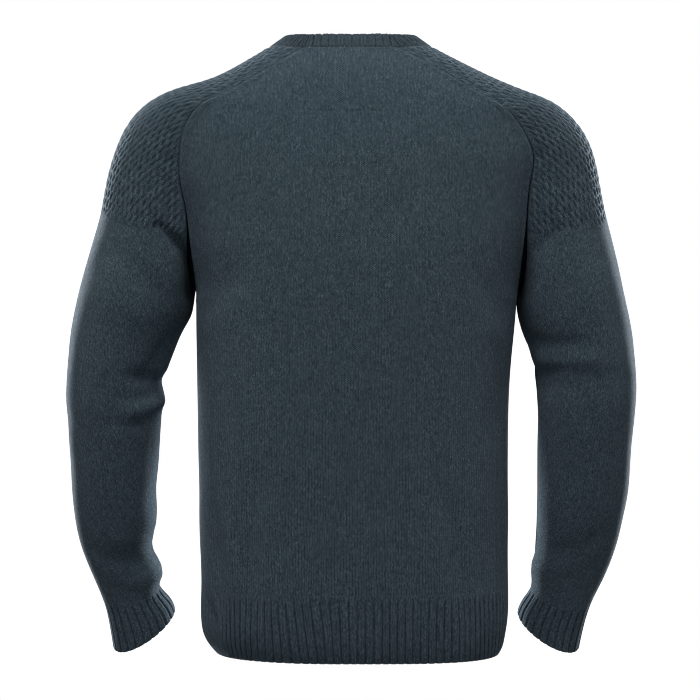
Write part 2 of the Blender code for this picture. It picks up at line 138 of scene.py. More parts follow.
ARM_COLUMNS = ("outer_x", "outer_z", "inner_x", "inner_z", "middle_y", "half_depth", "lean")
ARM = {
    "left": [
        (312, -292, 188, -305, -8, 62, 2),
        (317, -328, 203, -338, -10, 58, 4),
        (320, -366, 213, -374, -12, 54, 6),
        (320, -404, 215.5, -409, -16, 51, 9),
        (318, -445, 218.5, -449, -22, 47, 12),
        (317, -486, 222, -489, -30, 44, 14),
        (313, -529, 223.5, -527, -39, 40, 16),
        (303, -568, 227, -557, -49, 36, 17),
        (295, -590, 218, -580, -55, 34, 17.5),
        (286, -612, 221, -600, -60, 32, 19),
        (280, -640, 211, -617, -66, 34, 22),
        (275, -670.5, 204, -631, -73, 37, 26),
    ],
    "right": [
        (311, -296, 192, -311, -8, 62, 2),
        (316, -330, 204, -342, -10, 58, 4),
        (319, -366, 208.5, -375, -12, 54, 6),
        (317.5, -404, 210, -409, -16, 51, 9),
        (314.5, -445, 210, -449, -22, 47, 12),
        (313, -486, 210.5, -489, -30, 44, 14),
        (306, -529, 210.5, -527, -39, 40, 16),
        (297, -565, 209, -559, -49, 36, 17),
        (287.5, -590, 206, -580, -55, 34, 17.5),
        (275, -617, 206, -602, -60, 32, 19),
        (267.5, -642, 197, -619, -66, 34, 22),
        (262, -670, 191, -634, -73, 38, 26),
    ],
}
SIGN = {"left": 1.0, "right": -1.0}

# ---- folds, each a soft trough (depth under 0) or ridge along a line that may bow. On the torso across is measured round the cloth from
# the middle line (+ is the wearer's left) and along is the height. On a sleeve across is measured from the top line (+ is behind) and
# along is the way down the top line.
FOLD_COLUMNS = ("piece", "across_0", "along_0", "across_1", "along_1", "bow", "depth", "half_width")
FOLDS = [
    # behind, torso: long soft drapes over the hem, and a slight drag from each armhole
    ("back", 106, -478, 112, -606, 4, -4.2, 17),
    ("back", 138, -530, 130, -604, 0, 1.8, 12),
    ("back", 158, -520, 152, -600, 0, -3.0, 10),
    ("back", -112, -505, -120, -608, -3, -4.4, 14),
    ("back", -92, -520, -96, -606, 2, 1.8, 13),
    ("back", -152, -540, -150, -600, 0, -1.6, 12),
    ("back", 30, -540, 24, -604, 0, -1.2, 16),
    ("back", -38, -552, -34, -602, 0, -1.0, 15),
    ("back", 172, -282, 120, -236, 6, -1.6, 11),
    ("back", 178, -308, 128, -276, 5, 1.2, 11),
    ("back", -182, -286, -132, -240, -6, -1.5, 12),
    ("back", -184, -318, -134, -290, -4, 1.1, 12),
    ("back", 190, -380, 150, -410, 4, -1.3, 16),
    ("back", -190, -372, -146, -420, -6, -1.4, 18),
    ("back", 60, -90, 84, -150, 6, -0.9, 18),
    ("back", -62, -96, -88, -160, -6, -0.8, 18),
    # before, torso
    ("front", 70, -430, 88, -606, 5, -3.6, 20),
    ("front", -78, -470, -92, -608, -4, -3.6, 19),
    ("front", 128, -500, 122, -604, 0, 1.8, 14),
    ("front", 150, -520, 146, -604, 0, -2.4, 11),
    ("front", -140, -530, -142, -604, 0, -2.0, 12),
    ("front", 8, -520, 2, -606, 2, -1.5, 17),
    ("front", -36, -545, -40, -604, 0, 1.3, 14),
    ("front", 168, -284, 110, -240, 5, -1.8, 11),
    ("front", -176, -288, -120, -238, -5, -1.8, 12),
    ("front", 172, -320, 120, -300, 4, 1.2, 12),
    ("front", -176, -326, -124, -300, -3, 1.2, 12),
    ("front", 60, -250, 96, -170, 4, -1.0, 17),
    ("front", -58, -256, -94, -180, -4, -1.1, 16),
    # the wearer's left sleeve: the crease under the arm with its drag lines, then the elbow
    ("left", 116, 304, 164, 344, 0, -4.6, 6),
    ("left", 118, 296, 166, 326, 2, 1.6, 6),
    ("left", 84, 316, 150, 360, 4, 1.7, 8),
    ("left", 70, 330, 160, 384, 5, -2.0, 9),
    ("left", 60, 366, 150, 410, 6, 1.1, 11),
    ("left", 112, 462, 174, 468, 0, -4.6, 9),
    ("left", -120, 462, -174, 468, 0, -4.6, 9),
    ("left", 112, 500, 168, 491, 0, 4.8, 10),
    ("left", -112, 500, -168, 491, 0, 4.8, 10),
    ("left", 158, 416, 124, 460, 0, -2.6, 9),
    ("left", 108, 486, 142, 478, 0, -2.4, 8),
    ("left", 70, 516, 140, 506, 4, -1.4, 9),
    ("left", 176, 368, 206, 374, 0, -4.5, 12),
    ("left", -176, 368, -206, 374, 0, -4.5, 12),
    ("left", 156, 326, 182, 364, 0, -6.5, 13),
    ("left", 20, 520, 118, 552, 8, -1.0, 16),
    ("left", 58, 640, 118, 664, 4, 1.7, 11),
    ("left", 40, 668, 116, 690, 4, -2.0, 10),
    ("left", 60, 706, 110, 716, 2, 1.4, 8),
    ("left", -100, 310, -166, 346, -3, -3.2, 8),
    ("left", -80, 330, -156, 378, -4, 1.5, 9),
    ("left", -40, 462, -112, 452, -6, -2.0, 13),
    ("left", -50, 560, -120, 590, -5, -1.3, 15),
    ("left", -40, 660, -110, 690, -4, -1.8, 11),
    ("left", 6, 400, 24, 560, 5, 0.8, 18),
    # the wearer's right sleeve
    ("right", 104, 310, 160, 344, 3, -2.4, 8),
    ("right", 84, 330, 156, 372, 4, 1.4, 9),
    ("right", 110, 470, 160, 474, 0, -2.5, 16),
    ("right", 96, 428, 176, 414, 3, -3.0, 9),
    ("right", 84, 446, 170, 440, 4, 2.2, 8),
    ("right", 154, 326, 182, 366, 0, -6.5, 13),
    ("right", 120, 452, 168, 458, 2, -1.6, 7),
    ("right", 44, 470, 110, 452, 8, -1.3, 12),
    ("right", 40, 540, 130, 570, 6, -1.1, 16),
    ("right", 50, 650, 118, 676, 4, -1.6, 11),
    ("right", 64, 690, 118, 704, 3, 1.2, 9),
    ("right", -104, 312, -160, 348, -3, -2.8, 8),
    ("right", -84, 336, -152, 380, -4, 1.4, 9),
    ("right", -96, 446, -170, 438, -2, -4.0, 12),
    ("right", -84, 470, -160, 464, -3, 2.0, 12),
    ("right", -50, 566, -120, 596, -5, -1.4, 15),
    ("right", -40, 664, -112, 690, -4, -1.7, 11),
    ("right", 4, 410, 20, 570, 5, 0.8, 18),
]  # fmt: skip


# ---- curves ----
def bend(stops, values):
    n, h = len(stops), np.diff(stops)
    a, r = np.eye(n), np.zeros_like(values)
    for i in range(1, n - 1):
        a[i, i - 1 : i + 2] = h[i - 1], 2 * (h[i - 1] + h[i]), h[i]
        r[i] = 6 * ((values[i + 1] - values[i]) / h[i] - (values[i] - values[i - 1]) / h[i - 1])
    return np.linalg.solve(a, r)


class Curve:
    """A smooth curve through a table's rows, read at any place along its stops."""

    def __init__(self, stops, values):
        self.stops, self.values = np.asarray(stops, float), np.asarray(values, float)
        self.bends = bend(self.stops, self.values)

    def __call__(self, x):
        x = np.asarray(x, float)
        t, v, m = self.stops, self.values, self.bends
        i = np.clip(np.searchsorted(t, x, side="right") - 1, 0, len(t) - 2)
        h = t[i + 1] - t[i]
        a, b = (t[i + 1] - x) / h, (x - t[i]) / h
        if v.ndim > 1:
            h, a, b = h[..., None], a[..., None], b[..., None]
        return a * v[i] + b * v[i + 1] + ((a**3 - a) * m[i] + (b**3 - b) * m[i + 1]) * h**2 / 6


def step(a, b, x):
    t = np.clip((np.asarray(x, float) - a) / (b - a), 0, 1)
    return t * t * (3 - 2 * t)


def bump(x, middle, half):
    return np.exp(-(((x - middle) / half) ** 2))


def lengths(points):
    return np.concatenate([[0], np.cumsum(np.linalg.norm(np.diff(points, axis=0), axis=1))])


def at_lengths(points, where):
    run = lengths(points)
    return np.stack([np.interp(where, run, points[:, k]) for k in range(3)], 1)


def wander(x, seed, *periods):
    """A slow uneven wave of x, between about -1 and 1."""
    total = np.zeros_like(np.asarray(x, float))
    for k, period in enumerate(periods):
        phase = math.fmod(seed * 12.9898 + k * 78.233, 2 * math.pi)
        total = total + np.sin(2 * math.pi * x / period + phase + 0.6 * np.sin(2 * math.pi * x / (period * 2.7) + seed))
    return total / len(periods)


def chance(n, seed):
    return np.random.RandomState(seed).uniform(-1, 1, n)


# ---- the sleeves' surface ----
class Sleeve:
    """The surface of one sleeve. along runs down its top line from the neck, and turn goes round from the top line: -1 at the seam
    before, +1 at the seam behind. Below the underarm the two meet."""

    def __init__(self, side):
        self.side, self.sign = side, SIGN[side]
        cap = [dict(zip(CAP_COLUMNS, row)) for row in CAP[side]]
        arm = [dict(zip(ARM_COLUMNS, row)) for row in ARM[side]]
        rows = [
            (c["top_x"], c["top_y"], c["top_z"], c["back_x"], c["back_z"], c["back_w"], c["front_x"], c["front_z"], c["front_w"], 0)
            for c in cap
        ] + [
            (a["outer_x"], a["middle_y"], a["outer_z"], a["inner_x"], a["inner_z"], a["half_depth"], a["inner_x"], a["inner_z"], a["half_depth"], a["lean"])
            for a in arm
        ]  # fmt: skip
        rows = np.array(rows, float)
        self.stops = lengths(rows[:, :3])
        self.shape = Curve(self.stops, rows)
        self.closed = self.stops[UNDERARM]
        self.cuff = self.stops[-3]
        self.end = self.stops[-1]
        turns = np.array([(c["back_turn"], c["front_turn"]) for c in cap], float)
        self.turns = Curve(self.stops[: len(cap)], turns)

    def point(self, along, turn):
        along, turn = np.broadcast_arrays(np.asarray(along, float), np.asarray(turn, float))
        row = self.shape(along)
        most = np.where((along < self.closed)[..., None], np.minimum(self.turns(np.minimum(along, self.closed)), 180), 180)
        behind = turn >= 0
        top = row[..., 0:3]
        one = along >= self.closed
        edge_x, edge_z, half = (
            np.where(one, (row[..., k] + row[..., k + 3]) / 2, np.where(behind, row[..., k], row[..., k + 3])) for k in (3, 4, 5)
        )
        full = np.radians(np.where(behind, most[..., 0], most[..., 1]))
        lean = np.radians(row[..., 9])
        angle = np.abs(turn) * full
        away = 0.6 * step(self.closed - 90, self.closed - 20, along) * (1 - step(self.closed + 20, self.closed + 60, along))
        reach = (1 - np.cos(angle)) / (1 - np.cos(full))
        side = np.where(behind, 1, -1) * half * np.sin(angle)
        x = top[..., 0] - (top[..., 0] - edge_x - away) * reach
        y = top[..., 1] + side * np.cos(lean)
        z = top[..., 2] - (top[..., 2] - edge_z) * reach - side * np.sin(lean)
        return np.stack([self.sign * x, y, z], -1)

    def seam(self, behind, z):
        places = np.linspace(0, self.closed, 1600)
        heights = self.point(places, 1.0 if behind else -1.0)[:, 2]
        return self.point(np.interp(z, heights[::-1], places[::-1]), 1.0 if behind else -1.0)


SLEEVE = {side: Sleeve(side) for side in SIGN}
DEEP = Curve([-row[0] for row in DEPTH], np.array([row[1:] for row in DEPTH], float))
WIDE = Curve([-row[0] for row in SIDE], np.array([row[1:] for row in SIDE], float))


# ---- the torso's surface ----
def edge(side, behind, z):
    if z <= UNDERARM_Z:
        return np.array([SIGN[side] * WIDE(-z)[0 if side == "left" else 1], MIDDLE_Y, z])
    return SLEEVE[side].seam(behind, z)


def half_row(side, behind, z, steps=240):
    """Points of one level section, from the middle line to the panel's edge."""
    end = edge(side, behind, z)
    back, front, *squares = DEEP(-z)
    square = squares[0 if side == "left" else 1]
    depth = back - MIDDLE_Y if behind else front + MIDDLE_Y
    out = (end[1] - MIDDLE_Y) / depth * (1 if behind else -1)
    out = min(max(out, 0.0), 0.995)
    last = math.acos(out ** (square / 2))
    angle = np.linspace(0, 1, steps) ** 1.25 * last
    reach = np.sin(angle) ** (2 / square)
    x = end[0] * reach / reach[-1]
    y = MIDDLE_Y + (1 if behind else -1) * depth * np.cos(angle) ** (2 / square)
    return np.stack([x, y, np.full(steps, z)], 1)


def v_x(z):
    return V_TOP_X * np.clip((z - V_Z) / (V_TOP_Z - V_Z), 0, 1) ** 0.92


# ---- folds ----
def fold_push(piece, across, along):
    """How far out the folds of a piece push its cloth at each place, in mm."""
    push = np.zeros(np.broadcast(across, along).shape)
    for row in FOLDS:
        f = dict(zip(FOLD_COLUMNS, row))
        if f["piece"] != piece:
            continue
        a = np.array([f["across_0"], f["along_0"]], float)
        d = np.array([f["across_1"], f["along_1"]], float) - a
        long = math.hypot(*d)
        t = ((across - a[0]) * d[0] + (along - a[1]) * d[1]) / long**2
        near = np.clip(t, 0, 1)
        bow = f["bow"] * 4 * near * (1 - near)
        off = ((across - a[0]) * -d[1] + (along - a[1]) * d[0]) / long - bow
        past = (t - near) * long
        # deepest past the middle of its length and uneven along it
        swell = 0.72 + 0.28 * np.sin(math.pi * near) + 0.12 * wander(near * long, abs(f["along_0"]) + f["across_1"], 37.0, 61.0)
        push += f["depth"] * swell * np.exp(-((off / f["half_width"]) ** 2) - (past / (1.3 * f["half_width"])) ** 2)
    return push


def torso_push(behind, across, z):
    push = fold_push("back" if behind else "front", across, z)
    seed = 3.0 if behind else 5.0
    soft = 0.55 * wander(across + 0.25 * z, seed, 143.0, 89.0) * wander(z - 0.2 * across, seed + 1, 171.0, 118.0)
    hold = 1 - step(-560, -625, z)
    return push * (1 - step(-600, -640, z)) + soft * (0.35 + 0.65 * hold)


def sleeve_push(side, across, along):
    sleeve = SLEEVE[side]
    push = fold_push(side, across, along)
    seed = 7.0 if side == "left" else 11.0
    soft = 0.5 * wander(along + 0.5 * across, seed, 97.0, 71.0) * wander(across - 0.3 * along, seed + 1, 83.0, 131.0)
    return (push + soft) * (1 - step(sleeve.cuff - 6, sleeve.cuff + 26, along)) * (0.4 + 0.6 * step(60, 240, along))


# ---- meshes ----
class Piece:
    """One shell: points and faces are gathered from grids and strips, and points at one place are joined at the end."""

    def __init__(self, name):
        self.name, self.count = name, 0
        self.points, self.knit, self.bake, self.tone, self.faces = [], [], [], [], []

    def add(self, points, knit, bake, tone=0.0):
        """points may be any grid (..., 3); returns the same grid of numbers."""
        shape = points.shape[:-1]
        n = int(np.prod(shape))
        self.points.append(points.reshape(n, 3))
        self.knit.append(np.broadcast_to(knit, (*shape, 2)).reshape(n, 2))
        self.bake.append(np.broadcast_to(bake, (*shape, 2)).reshape(n, 2))
        self.tone.append(np.broadcast_to(tone, shape).reshape(n))
        start, self.count = self.count, self.count + n
        return np.arange(start, self.count).reshape(shape)

    def again(self, numbers, bake):
        """The same points with other places in the bake's map."""
        points, knit, tone = (np.concatenate(x)[numbers] for x in (self.points, self.knit, self.tone))
        return self.add(points, knit, bake, tone)

    def grid(self, numbers, finish=0):
        a, b, c, d = numbers[:-1, :-1], numbers[:-1, 1:], numbers[1:, 1:], numbers[1:, :-1]
        self.faces.append((np.stack([a, b, c, d], -1).reshape(-1, 4), finish))

    def strip(self, a, b, at_a=None, at_b=None, finish=0):
        """Faces between two lines of points, which may have different numbers of them."""
        a, b = np.asarray(a), np.asarray(b)
        if len(a) == len(b) and at_a is None:
            self.grid(np.stack([a, b]), finish)
            return
        at_a = np.linspace(0, 1, len(a)) if at_a is None else np.asarray(at_a, float)
        at_b = np.linspace(0, 1, len(b)) if at_b is None else np.asarray(at_b, float)
        i = j = 0
        triangles = []
        last_a, last_b = len(a) - 1, len(b) - 1
        while i < last_a or j < last_b:
            if j == last_b or (i < last_a and at_a[i] + at_a[i + 1] <= at_b[j] + at_b[j + 1]):
                triangles.append((a[i], a[i + 1], b[j], b[j]))
                i += 1
            else:
                triangles.append((a[i], b[j + 1], b[j], b[j]))
                j += 1
        self.faces.append((np.array(triangles), finish))

    def build(self, finishes):
        points = np.concatenate(self.points) * MM
        _, first, joined = np.unique(np.round(points * 2e6).astype(np.int64), axis=0, return_index=True, return_inverse=True)
        joined = joined.reshape(-1)
        corners = np.concatenate([f for f, _ in self.faces])
        finish = np.concatenate([np.full(len(f), k) for f, k in self.faces])
        at = joined[corners]
        new = np.stack([at[:, k] != at[:, (k + 1) % 4] for k in range(4)], 1)
        keep = new.sum(1) >= 3
        corners, at, new, finish = corners[keep], at[keep], new[keep], finish[keep]
        size = new.sum(1)
        mesh = bpy.data.meshes.new(self.name)
        mesh.vertices.add(len(first))
        mesh.vertices.foreach_set("co", points[first].ravel())
        mesh.loops.add(int(size.sum()))
        mesh.loops.foreach_set("vertex_index", at[new])
        mesh.polygons.add(len(size))
        mesh.polygons.foreach_set("loop_start", np.concatenate([[0], np.cumsum(size)[:-1]]))
        mesh.polygons.foreach_set("material_index", finish)
        chosen = corners[new]
        for name, values in (("knit", np.concatenate(self.knit) * MM), ("OFBake", np.concatenate(self.bake))):
            layer = mesh.uv_layers.new(name=name)
            layer.data.foreach_set("uv", values[chosen].astype(np.float32).ravel())
        mesh.update(calc_edges=True)
        mesh.validate()
        tone = mesh.attributes.new("tone", "FLOAT", "POINT")
        tone.data.foreach_set("value", np.concatenate(self.tone)[first].astype(np.float32))
        bm = bmesh.new()
        bm.from_mesh(mesh)
        bmesh.ops.recalc_face_normals(bm, faces=bm.faces)
        bm.to_mesh(mesh)
        bm.free()
        mesh.shade_smooth()
        mesh.set_sharp_from_angle(angle=math.radians(74))
        for m in finishes:
            mesh.materials.append(m)
        piece = bpy.data.objects.new(self.name, mesh)
        bpy.context.scene.collection.objects.link(piece)
        return piece


def normals(points, wrap=False):
    """Normals of a grid. The caller knows which way they point and turns them out."""
    if wrap:
        wide = np.concatenate([points[:, -3:-1], points, points[:, 1:3]], axis=1)
        du, dv = np.gradient(wide, axis=1)[:, 2:-2], np.gradient(points, axis=0)
    else:
        du, dv = np.gradient(points, axis=1), np.gradient(points, axis=0)
    n = np.cross(du, dv)
    return n / np.maximum(np.linalg.norm(n, axis=2, keepdims=True), 1e-9)


def turned_out(n, points, middle):
    """The normals, turned as a whole to point away from a line up the middle of the piece."""
    way = points - middle
    way[..., 2] = 0
    return n * (1.0 if np.sum(n * way) >= 0 else -1.0)


def side_cap(piece, outer, inner, at_outer, at_inner, strip_v, finish=0):
    """Closes the wall along one edge of a panel. strip_v is the height of its own narrow strip in the bake's map."""
    low, high = min(at_outer[0], at_inner[0]), max(at_outer[-1], at_inner[-1])

    def along(at):
        return 0.01 + 0.98 * (np.asarray(at, float) - low) / (high - low)

    a = piece.again(outer, np.stack([along(at_outer), np.full(len(outer), strip_v)], 1))
    b = piece.again(inner, np.stack([along(at_inner), np.full(len(inner), strip_v + 0.006)], 1))
    piece.strip(a, b, at_outer, at_inner, finish)


OUT_V, IN_V, CAP_V = (0.005, 0.70), (0.745, 0.995), (0.706, 0.716, 0.726, 0.736)


def bake_place(across, along, most, low, high, band):
    """Places in the bake's map, in real proportion across."""
    u = 0.5 + 0.495 * across / most
    v = band[0] + (band[1] - band[0]) * (along - low) / (high - low)
    return np.stack(np.broadcast_arrays(u, v), -1)


def coarse(n, every):
    """Numbers 0 to n-1, thinned, with both ends kept."""
    return np.unique(np.concatenate([np.arange(0, n, every), [n - 1]]))


# ---- the torso's panels ----
def spread(half, fine, fine_step, rest, near_start=False):
    """Distances from 0 to half: even, and closer together beside the far end, or beside both."""
    room = min(fine * fine_step, 0.3 * half)
    close = np.linspace(half - room, half, fine + 1)
    if near_start:
        return np.concatenate([np.linspace(0, room, fine + 1), np.linspace(room, half - room, rest + 1)[1:-1], close])
    return np.concatenate([np.linspace(0, half - room, rest + 1)[:-1], close])


FINE, FINE_STEP, REST = 10, 1.15, 62


def full_row(behind, z, fine=FINE, rest=REST):
    """A whole row of a panel, from the right edge to the left: its points, how far across, and how far from the nearer edge."""
    points, across, off = [], [], []
    for side in ("right", "left"):
        line = half_row(side, behind, z)
        half = lengths(line)[-1] - CLOSE
        d = spread(half, fine, FINE_STEP, rest)
        p = at_lengths(line, d)
        if side == "right":
            points.append(p[:0:-1])
            across.append(-d[:0:-1])
            off.append((half - d)[:0:-1])
        else:
            points.append(p)
            across.append(d)
            off.append(half - d)
    return np.concatenate(points), np.concatenate(across), np.concatenate(off)


def seam_lie(off, z):
    """How a panel's cloth lies beside the seam: a rolled edge that stands over the saddle and the armhole, flat at the side seam."""
    above = step(UNDERARM_Z - 2, UNDERARM_Z + 26, z)
    roll = 0.9 * bump(off, 3.2, 2.4) - 0.9 * bump(off, -0.3, 0.9)
    side = -1.5 * bump(off, -0.2, 1.0) + 0.25 * bump(off, 3.0, 2.0)
    return roll * above + side * (1 - above)


def by_the_seam(points, off, columns=(0, -1)):
    """Beside a shaped seam the wales run along the seam and not straight up. Returns each place's distance from the seam, square to it,
    and its way along it."""
    run = np.stack([lengths(points[:, k]) for k in columns], 1)
    rise = np.gradient(points[:, list(columns), 2], axis=0) / np.maximum(np.gradient(run, axis=0), 1e-6)
    near = np.where(np.arange(off.shape[1]) < off.shape[1] // 2, 0, len(columns) - 1)
    return off * np.clip(rise[:, near], 0.3, 1), run[:, near]


def seam_dent_painted_shade(off, run, z):
    """Painted shade for the stitches taken in where the panel was narrowed: a row of small dark marks beside the seam,
    in the colour only, standing in for the shade of small dents there.
    """
    return -0.6 * bump(off, 10.9, 1.1) * (0.5 + 0.5 * np.cos(2 * math.pi * run / 5.6)) * step(UNDERARM_Z + 20, UNDERARM_Z + 90, z)


def add_parted(piece, points, across, off, z, place, tone, ends):
    """Adds a panel's face, parted where the strips beside its seams begin. ends names the strips: one at each end that has one."""
    square, run = by_the_seam(points, off)
    inside, seam = np.stack([across, z], -1), np.stack([700.0 - square, points[0, 0, 2] + run], -1)
    count = points.shape[1]
    numbers = np.zeros(points.shape[:2], int)
    cuts = [0] + ([FINE] if 0 in ends else []) + ([count - 1 - FINE] if 1 in ends else []) + [count - 1]
    for k, (a, b) in enumerate(zip(cuts[:-1], cuts[1:])):
        strip = (k == 0 and 0 in ends) or (b == count - 1 and 1 in ends)
        part = slice(a, b + 1)
        n = piece.add(points[:, part], (seam if strip else inside)[:, part], place[:, part], tone[:, part])
        piece.grid(n)
        numbers[:, part] = n
    return numbers


def label_line(across, z):
    """The line of stitches that holds a tab inside the back neck, which shows as a faint dent."""
    line = -0.8 * bump(z, -73.5 + 0.006 * across, 1.15) * step(-45, -40, across) * (1 - step(42, 47, across))
    return line * (0.75 + 0.25 * np.sin(across * 2.1))


def neck_linking_painted_shade(along):
    """Painted shade of the neckband's linking, which draws the panel's edge in at every other stitch: dark dots in the
    colour only.
    """
    return -0.75 * (0.45 + 0.55 * np.cos(2 * math.pi * along / 5.5 + 0.5 * np.sin(along / 9.0)))


def row_heights(low, high, spacing, fine=()):
    """Heights from low to high at an even spacing, with more of them around the heights in fine."""
    rows = list(np.linspace(low, high, int(round((high - low) / spacing)) + 1))
    for middle, reach, close in fine:
        rows = [z for z in rows if abs(z - middle) > reach]
        rows += [z for z in np.arange(middle - reach, middle + reach + close / 2, close) if low <= z <= high]
    rows += [low, high]
    return np.unique(np.round(rows, 4))


def panel(name, behind, finishes):
    piece = Piece(name)
    top = NECK_Z - CLOSE if behind else V_Z
    fine = [(-73.5, 3.6, 0.8), (NECK_Z - 31.0, 31.0, 0.7)] if behind else []
    zs = row_heights(HEM_TOP_Z + CLOSE, top if behind else V_Z - 3.0, 2.6, fine)
    rows = [full_row(behind, z) for z in zs]
    P = np.array([r[0] for r in rows])
    across = np.array([r[1] for r in rows])
    off = np.array([r[2] for r in rows])
    Z = np.broadcast_to(zs[:, None], across.shape)
    n = turned_out(normals(P), P, [0, MIDDLE_Y, 0])
    base = P + n * torso_push(behind, across, Z)[..., None]
    square, run = by_the_seam(P, off)
    detail = seam_lie(square, Z)
    if behind:
        detail = detail + label_line(across, Z) - 0.9 * bump(Z, NECK_Z + 0.4, 1.3)
    most = 1.02 * np.abs(across).max()
    low, high = HEM_TOP_Z, 0.0
    # tone: painted shade in the groove at the seam and a painted highlight on the rolled edge beside it, above the
    # underarm; then the painted shade of the small dents beside the seam, and on the back the painted shade of the
    # linking dots at the neck and of the label's stitch line
    tone = -0.5 * bump(square, -0.2, 1.0) * step(UNDERARM_Z, UNDERARM_Z + 20, Z) + 0.26 * bump(square, 3.0, 2.3) * step(UNDERARM_Z, UNDERARM_Z + 20, Z)
    tone = tone + seam_dent_painted_shade(off, run, Z)
    if behind:
        tone = tone + neck_linking_painted_shade(across) * bump(Z, NECK_Z - 0.2, 1.7) + 0.5 * label_line(across, Z)
    knit = np.stack([across, Z], -1)
    outer = add_parted(piece, base + n * detail[..., None], across, off, Z, bake_place(across, Z, most, low, high, OUT_V), tone, (0, 1))
    # the wrong side, coarser
    keep_r, keep_c = coarse(len(zs), 3), np.unique(np.r_[0, coarse(across.shape[1], 3), 3, across.shape[1] - 4])
    sub = np.ix_(keep_r, keep_c)
    inner_points = base[sub] - n[sub] * CLOTH
    inner = piece.add(inner_points, knit[sub] * (1, 1), bake_place(across[sub], Z[sub], most, low, high, IN_V), -0.15)
    piece.grid(inner, 1)
    piece.strip(outer[0], inner[0], across[0], across[0][keep_c])
    for k, column in enumerate((0, -1)):
        side_cap(piece, outer[:, column], inner[:, column], zs, zs[keep_r], CAP_V[k])
    if behind:
        piece.strip(outer[-1], inner[-1], across[-1], across[-1][keep_c])
        return piece.build(finishes)
    # the front parts at the point of the V
    tops = []
    ups = np.unique(np.r_[row_heights(V_Z, V_TOP_Z - 2.5, 2.6, [(V_Z + 6, 6, 1.3)])])
    for k, side in enumerate(("right", "left")):
        half_p, half_a, half_off, half_v = [], [], [], []
        for z in ups:
            line = half_row(side, False, z)
            run = lengths(line)
            start = np.interp(v_x(z), np.abs(line[:, 0]), run) + (CLOSE if z > V_Z else 0.0)
            d = spread(run[-1] - CLOSE - start, 8, FINE_STEP, 44, near_start=True)
            half_p.append(at_lengths(line, start + d))
            half_a.append(start + d)
            half_off.append((run[-1] - CLOSE - start) - d)
            half_v.append(d)
        HP, HA, HO, HV = (np.array(x) for x in (half_p, half_a, half_off, half_v))
        HZ = np.broadcast_to(ups[:, None], HA.shape)
        sign = SIGN[side]
        HA = HA * sign
        hn = turned_out(normals(HP), HP, [0, MIDDLE_Y, 0])
        hbase = HP + hn * torso_push(False, HA, HZ)[..., None]
        rise = step(V_Z, V_Z + 14, HZ)
        hsquare, hrun = by_the_seam(HP, HO, (-1,))
        hdetail = seam_lie(hsquare, HZ) - 0.9 * bump(HV, -0.4, 1.3) * rise
        # painted shade in the groove at the seam, a painted highlight on the rolled edge beside it, and the painted
        # shade of the linking dots along the V
        htone = -0.5 * bump(hsquare, -0.2, 1.0) + 0.26 * bump(hsquare, 3.0, 2.3) + neck_linking_painted_shade(HZ) * bump(HV, 0.2, 1.7) * rise
        hknit = np.stack([HA, HZ], -1)
        o = piece.add(hbase + hn * hdetail[..., None], hknit, bake_place(HA, HZ, most, low, high, OUT_V), htone)
        piece.grid(o)
        kr, kc = coarse(len(ups), 3), coarse(HA.shape[1], 3)
        s = np.ix_(kr, kc)
        i = piece.add(hbase[s] - hn[s] * CLOTH, hknit[s], bake_place(HA[s], HZ[s], most, low, high, IN_V), -0.15)
        piece.grid(i, 1)
        side_cap(piece, o[:, -1], i[:, -1], ups, ups[kr], CAP_V[2 + k])
        side_cap(piece, o[:, 0], i[:, 0], ups, ups[kr], CAP_V[2 + k] + 0.004 * 0)
        piece.strip(o[-1], i[-1], np.abs(HA[-1]), np.abs(HA[-1][kc]))
        tops.append((o[0], i[0], HA[0], HA[0][kc]))
    (ro, ri, ra, rb), (lo, li, la, lb) = tops
    # both halves hold the point of the V at one place
    full_o, full_i = np.r_[ro[::-1], lo[1:]], np.r_[ri[::-1], li[1:]]
    weld_point(piece, [ro[0], lo[0]])
    weld_point(piece, [ri[0], li[0]])
    piece.strip(outer[-1], full_o, across[-1], np.r_[ra[::-1], la[1:]])
    piece.strip(inner[-1], full_i, across[-1][keep_c], np.r_[rb[::-1], lb[1:]], 1)
    return piece.build(finishes)


def weld_point(piece, numbers):
    """Brings points of a piece to their common middle."""
    sizes = np.cumsum([0] + [len(p) for p in piece.points])
    blocks = [(int(np.searchsorted(sizes, n, side="right")) - 1, n) for n in numbers]
    middle = np.mean([piece.points[b][n - sizes[b]] for b, n in blocks], axis=0)
    for b, n in blocks:
        piece.points[b] = piece.points[b].copy()
        piece.points[b][n - sizes[b]] = middle


# ---- the sleeves with their yokes ----
def yoke_end(side, across):
    """How far down the top line the yoke stitch ends, at each place round the sleeve."""
    behind = np.maximum(across, 0)
    if side == "left":
        return 282 + 32 * (1 - np.exp(-((behind / 85) ** 2))) + 20 * (1 - np.exp(-((np.minimum(across, 0) / 90) ** 2)))
    return 277 + 30 * step(0, 48, behind) + 9 * step(48, 140, behind) + 24 * (1 - np.exp(-((np.minimum(across, 0) / 90) ** 2)))


DOWN = np.linspace(0, 400, 401)
SADDLE_ROWS = np.concatenate([[0], np.cumsum(0.6 * (1 - step(40, 150, DOWN[1:])))])
TWIST = np.concatenate([[0], np.cumsum(0.29 * step(95, 165, DOWN[1:]))])


def yoke_place(across, along):
    """Where a place lies in the yoke's stitch. Over the shoulder the saddle is drawn wide, and its columns stand further apart and its
    rows closer. Below it the sleeve turns a little on the arm, and its stitches with it: the rows come to lie along the yoke's lower
    end, and the cloth is drawn widest over the top line."""
    wide = 1 + 0.4 * (1 - step(30, 150, along))
    low = step(60, 170, along)
    drawn = 0.42 * 38 * np.tanh(across / 38) * low
    turned = 40 * (1 - np.exp(-((np.maximum(across, 0) / 85) ** 2))) + 22 * (1 - np.exp(-((np.minimum(across, 0) / 90) ** 2)))
    return across / wide - drawn + np.interp(along, DOWN, TWIST), along + np.interp(along, DOWN, SADDLE_ROWS) - turned * low


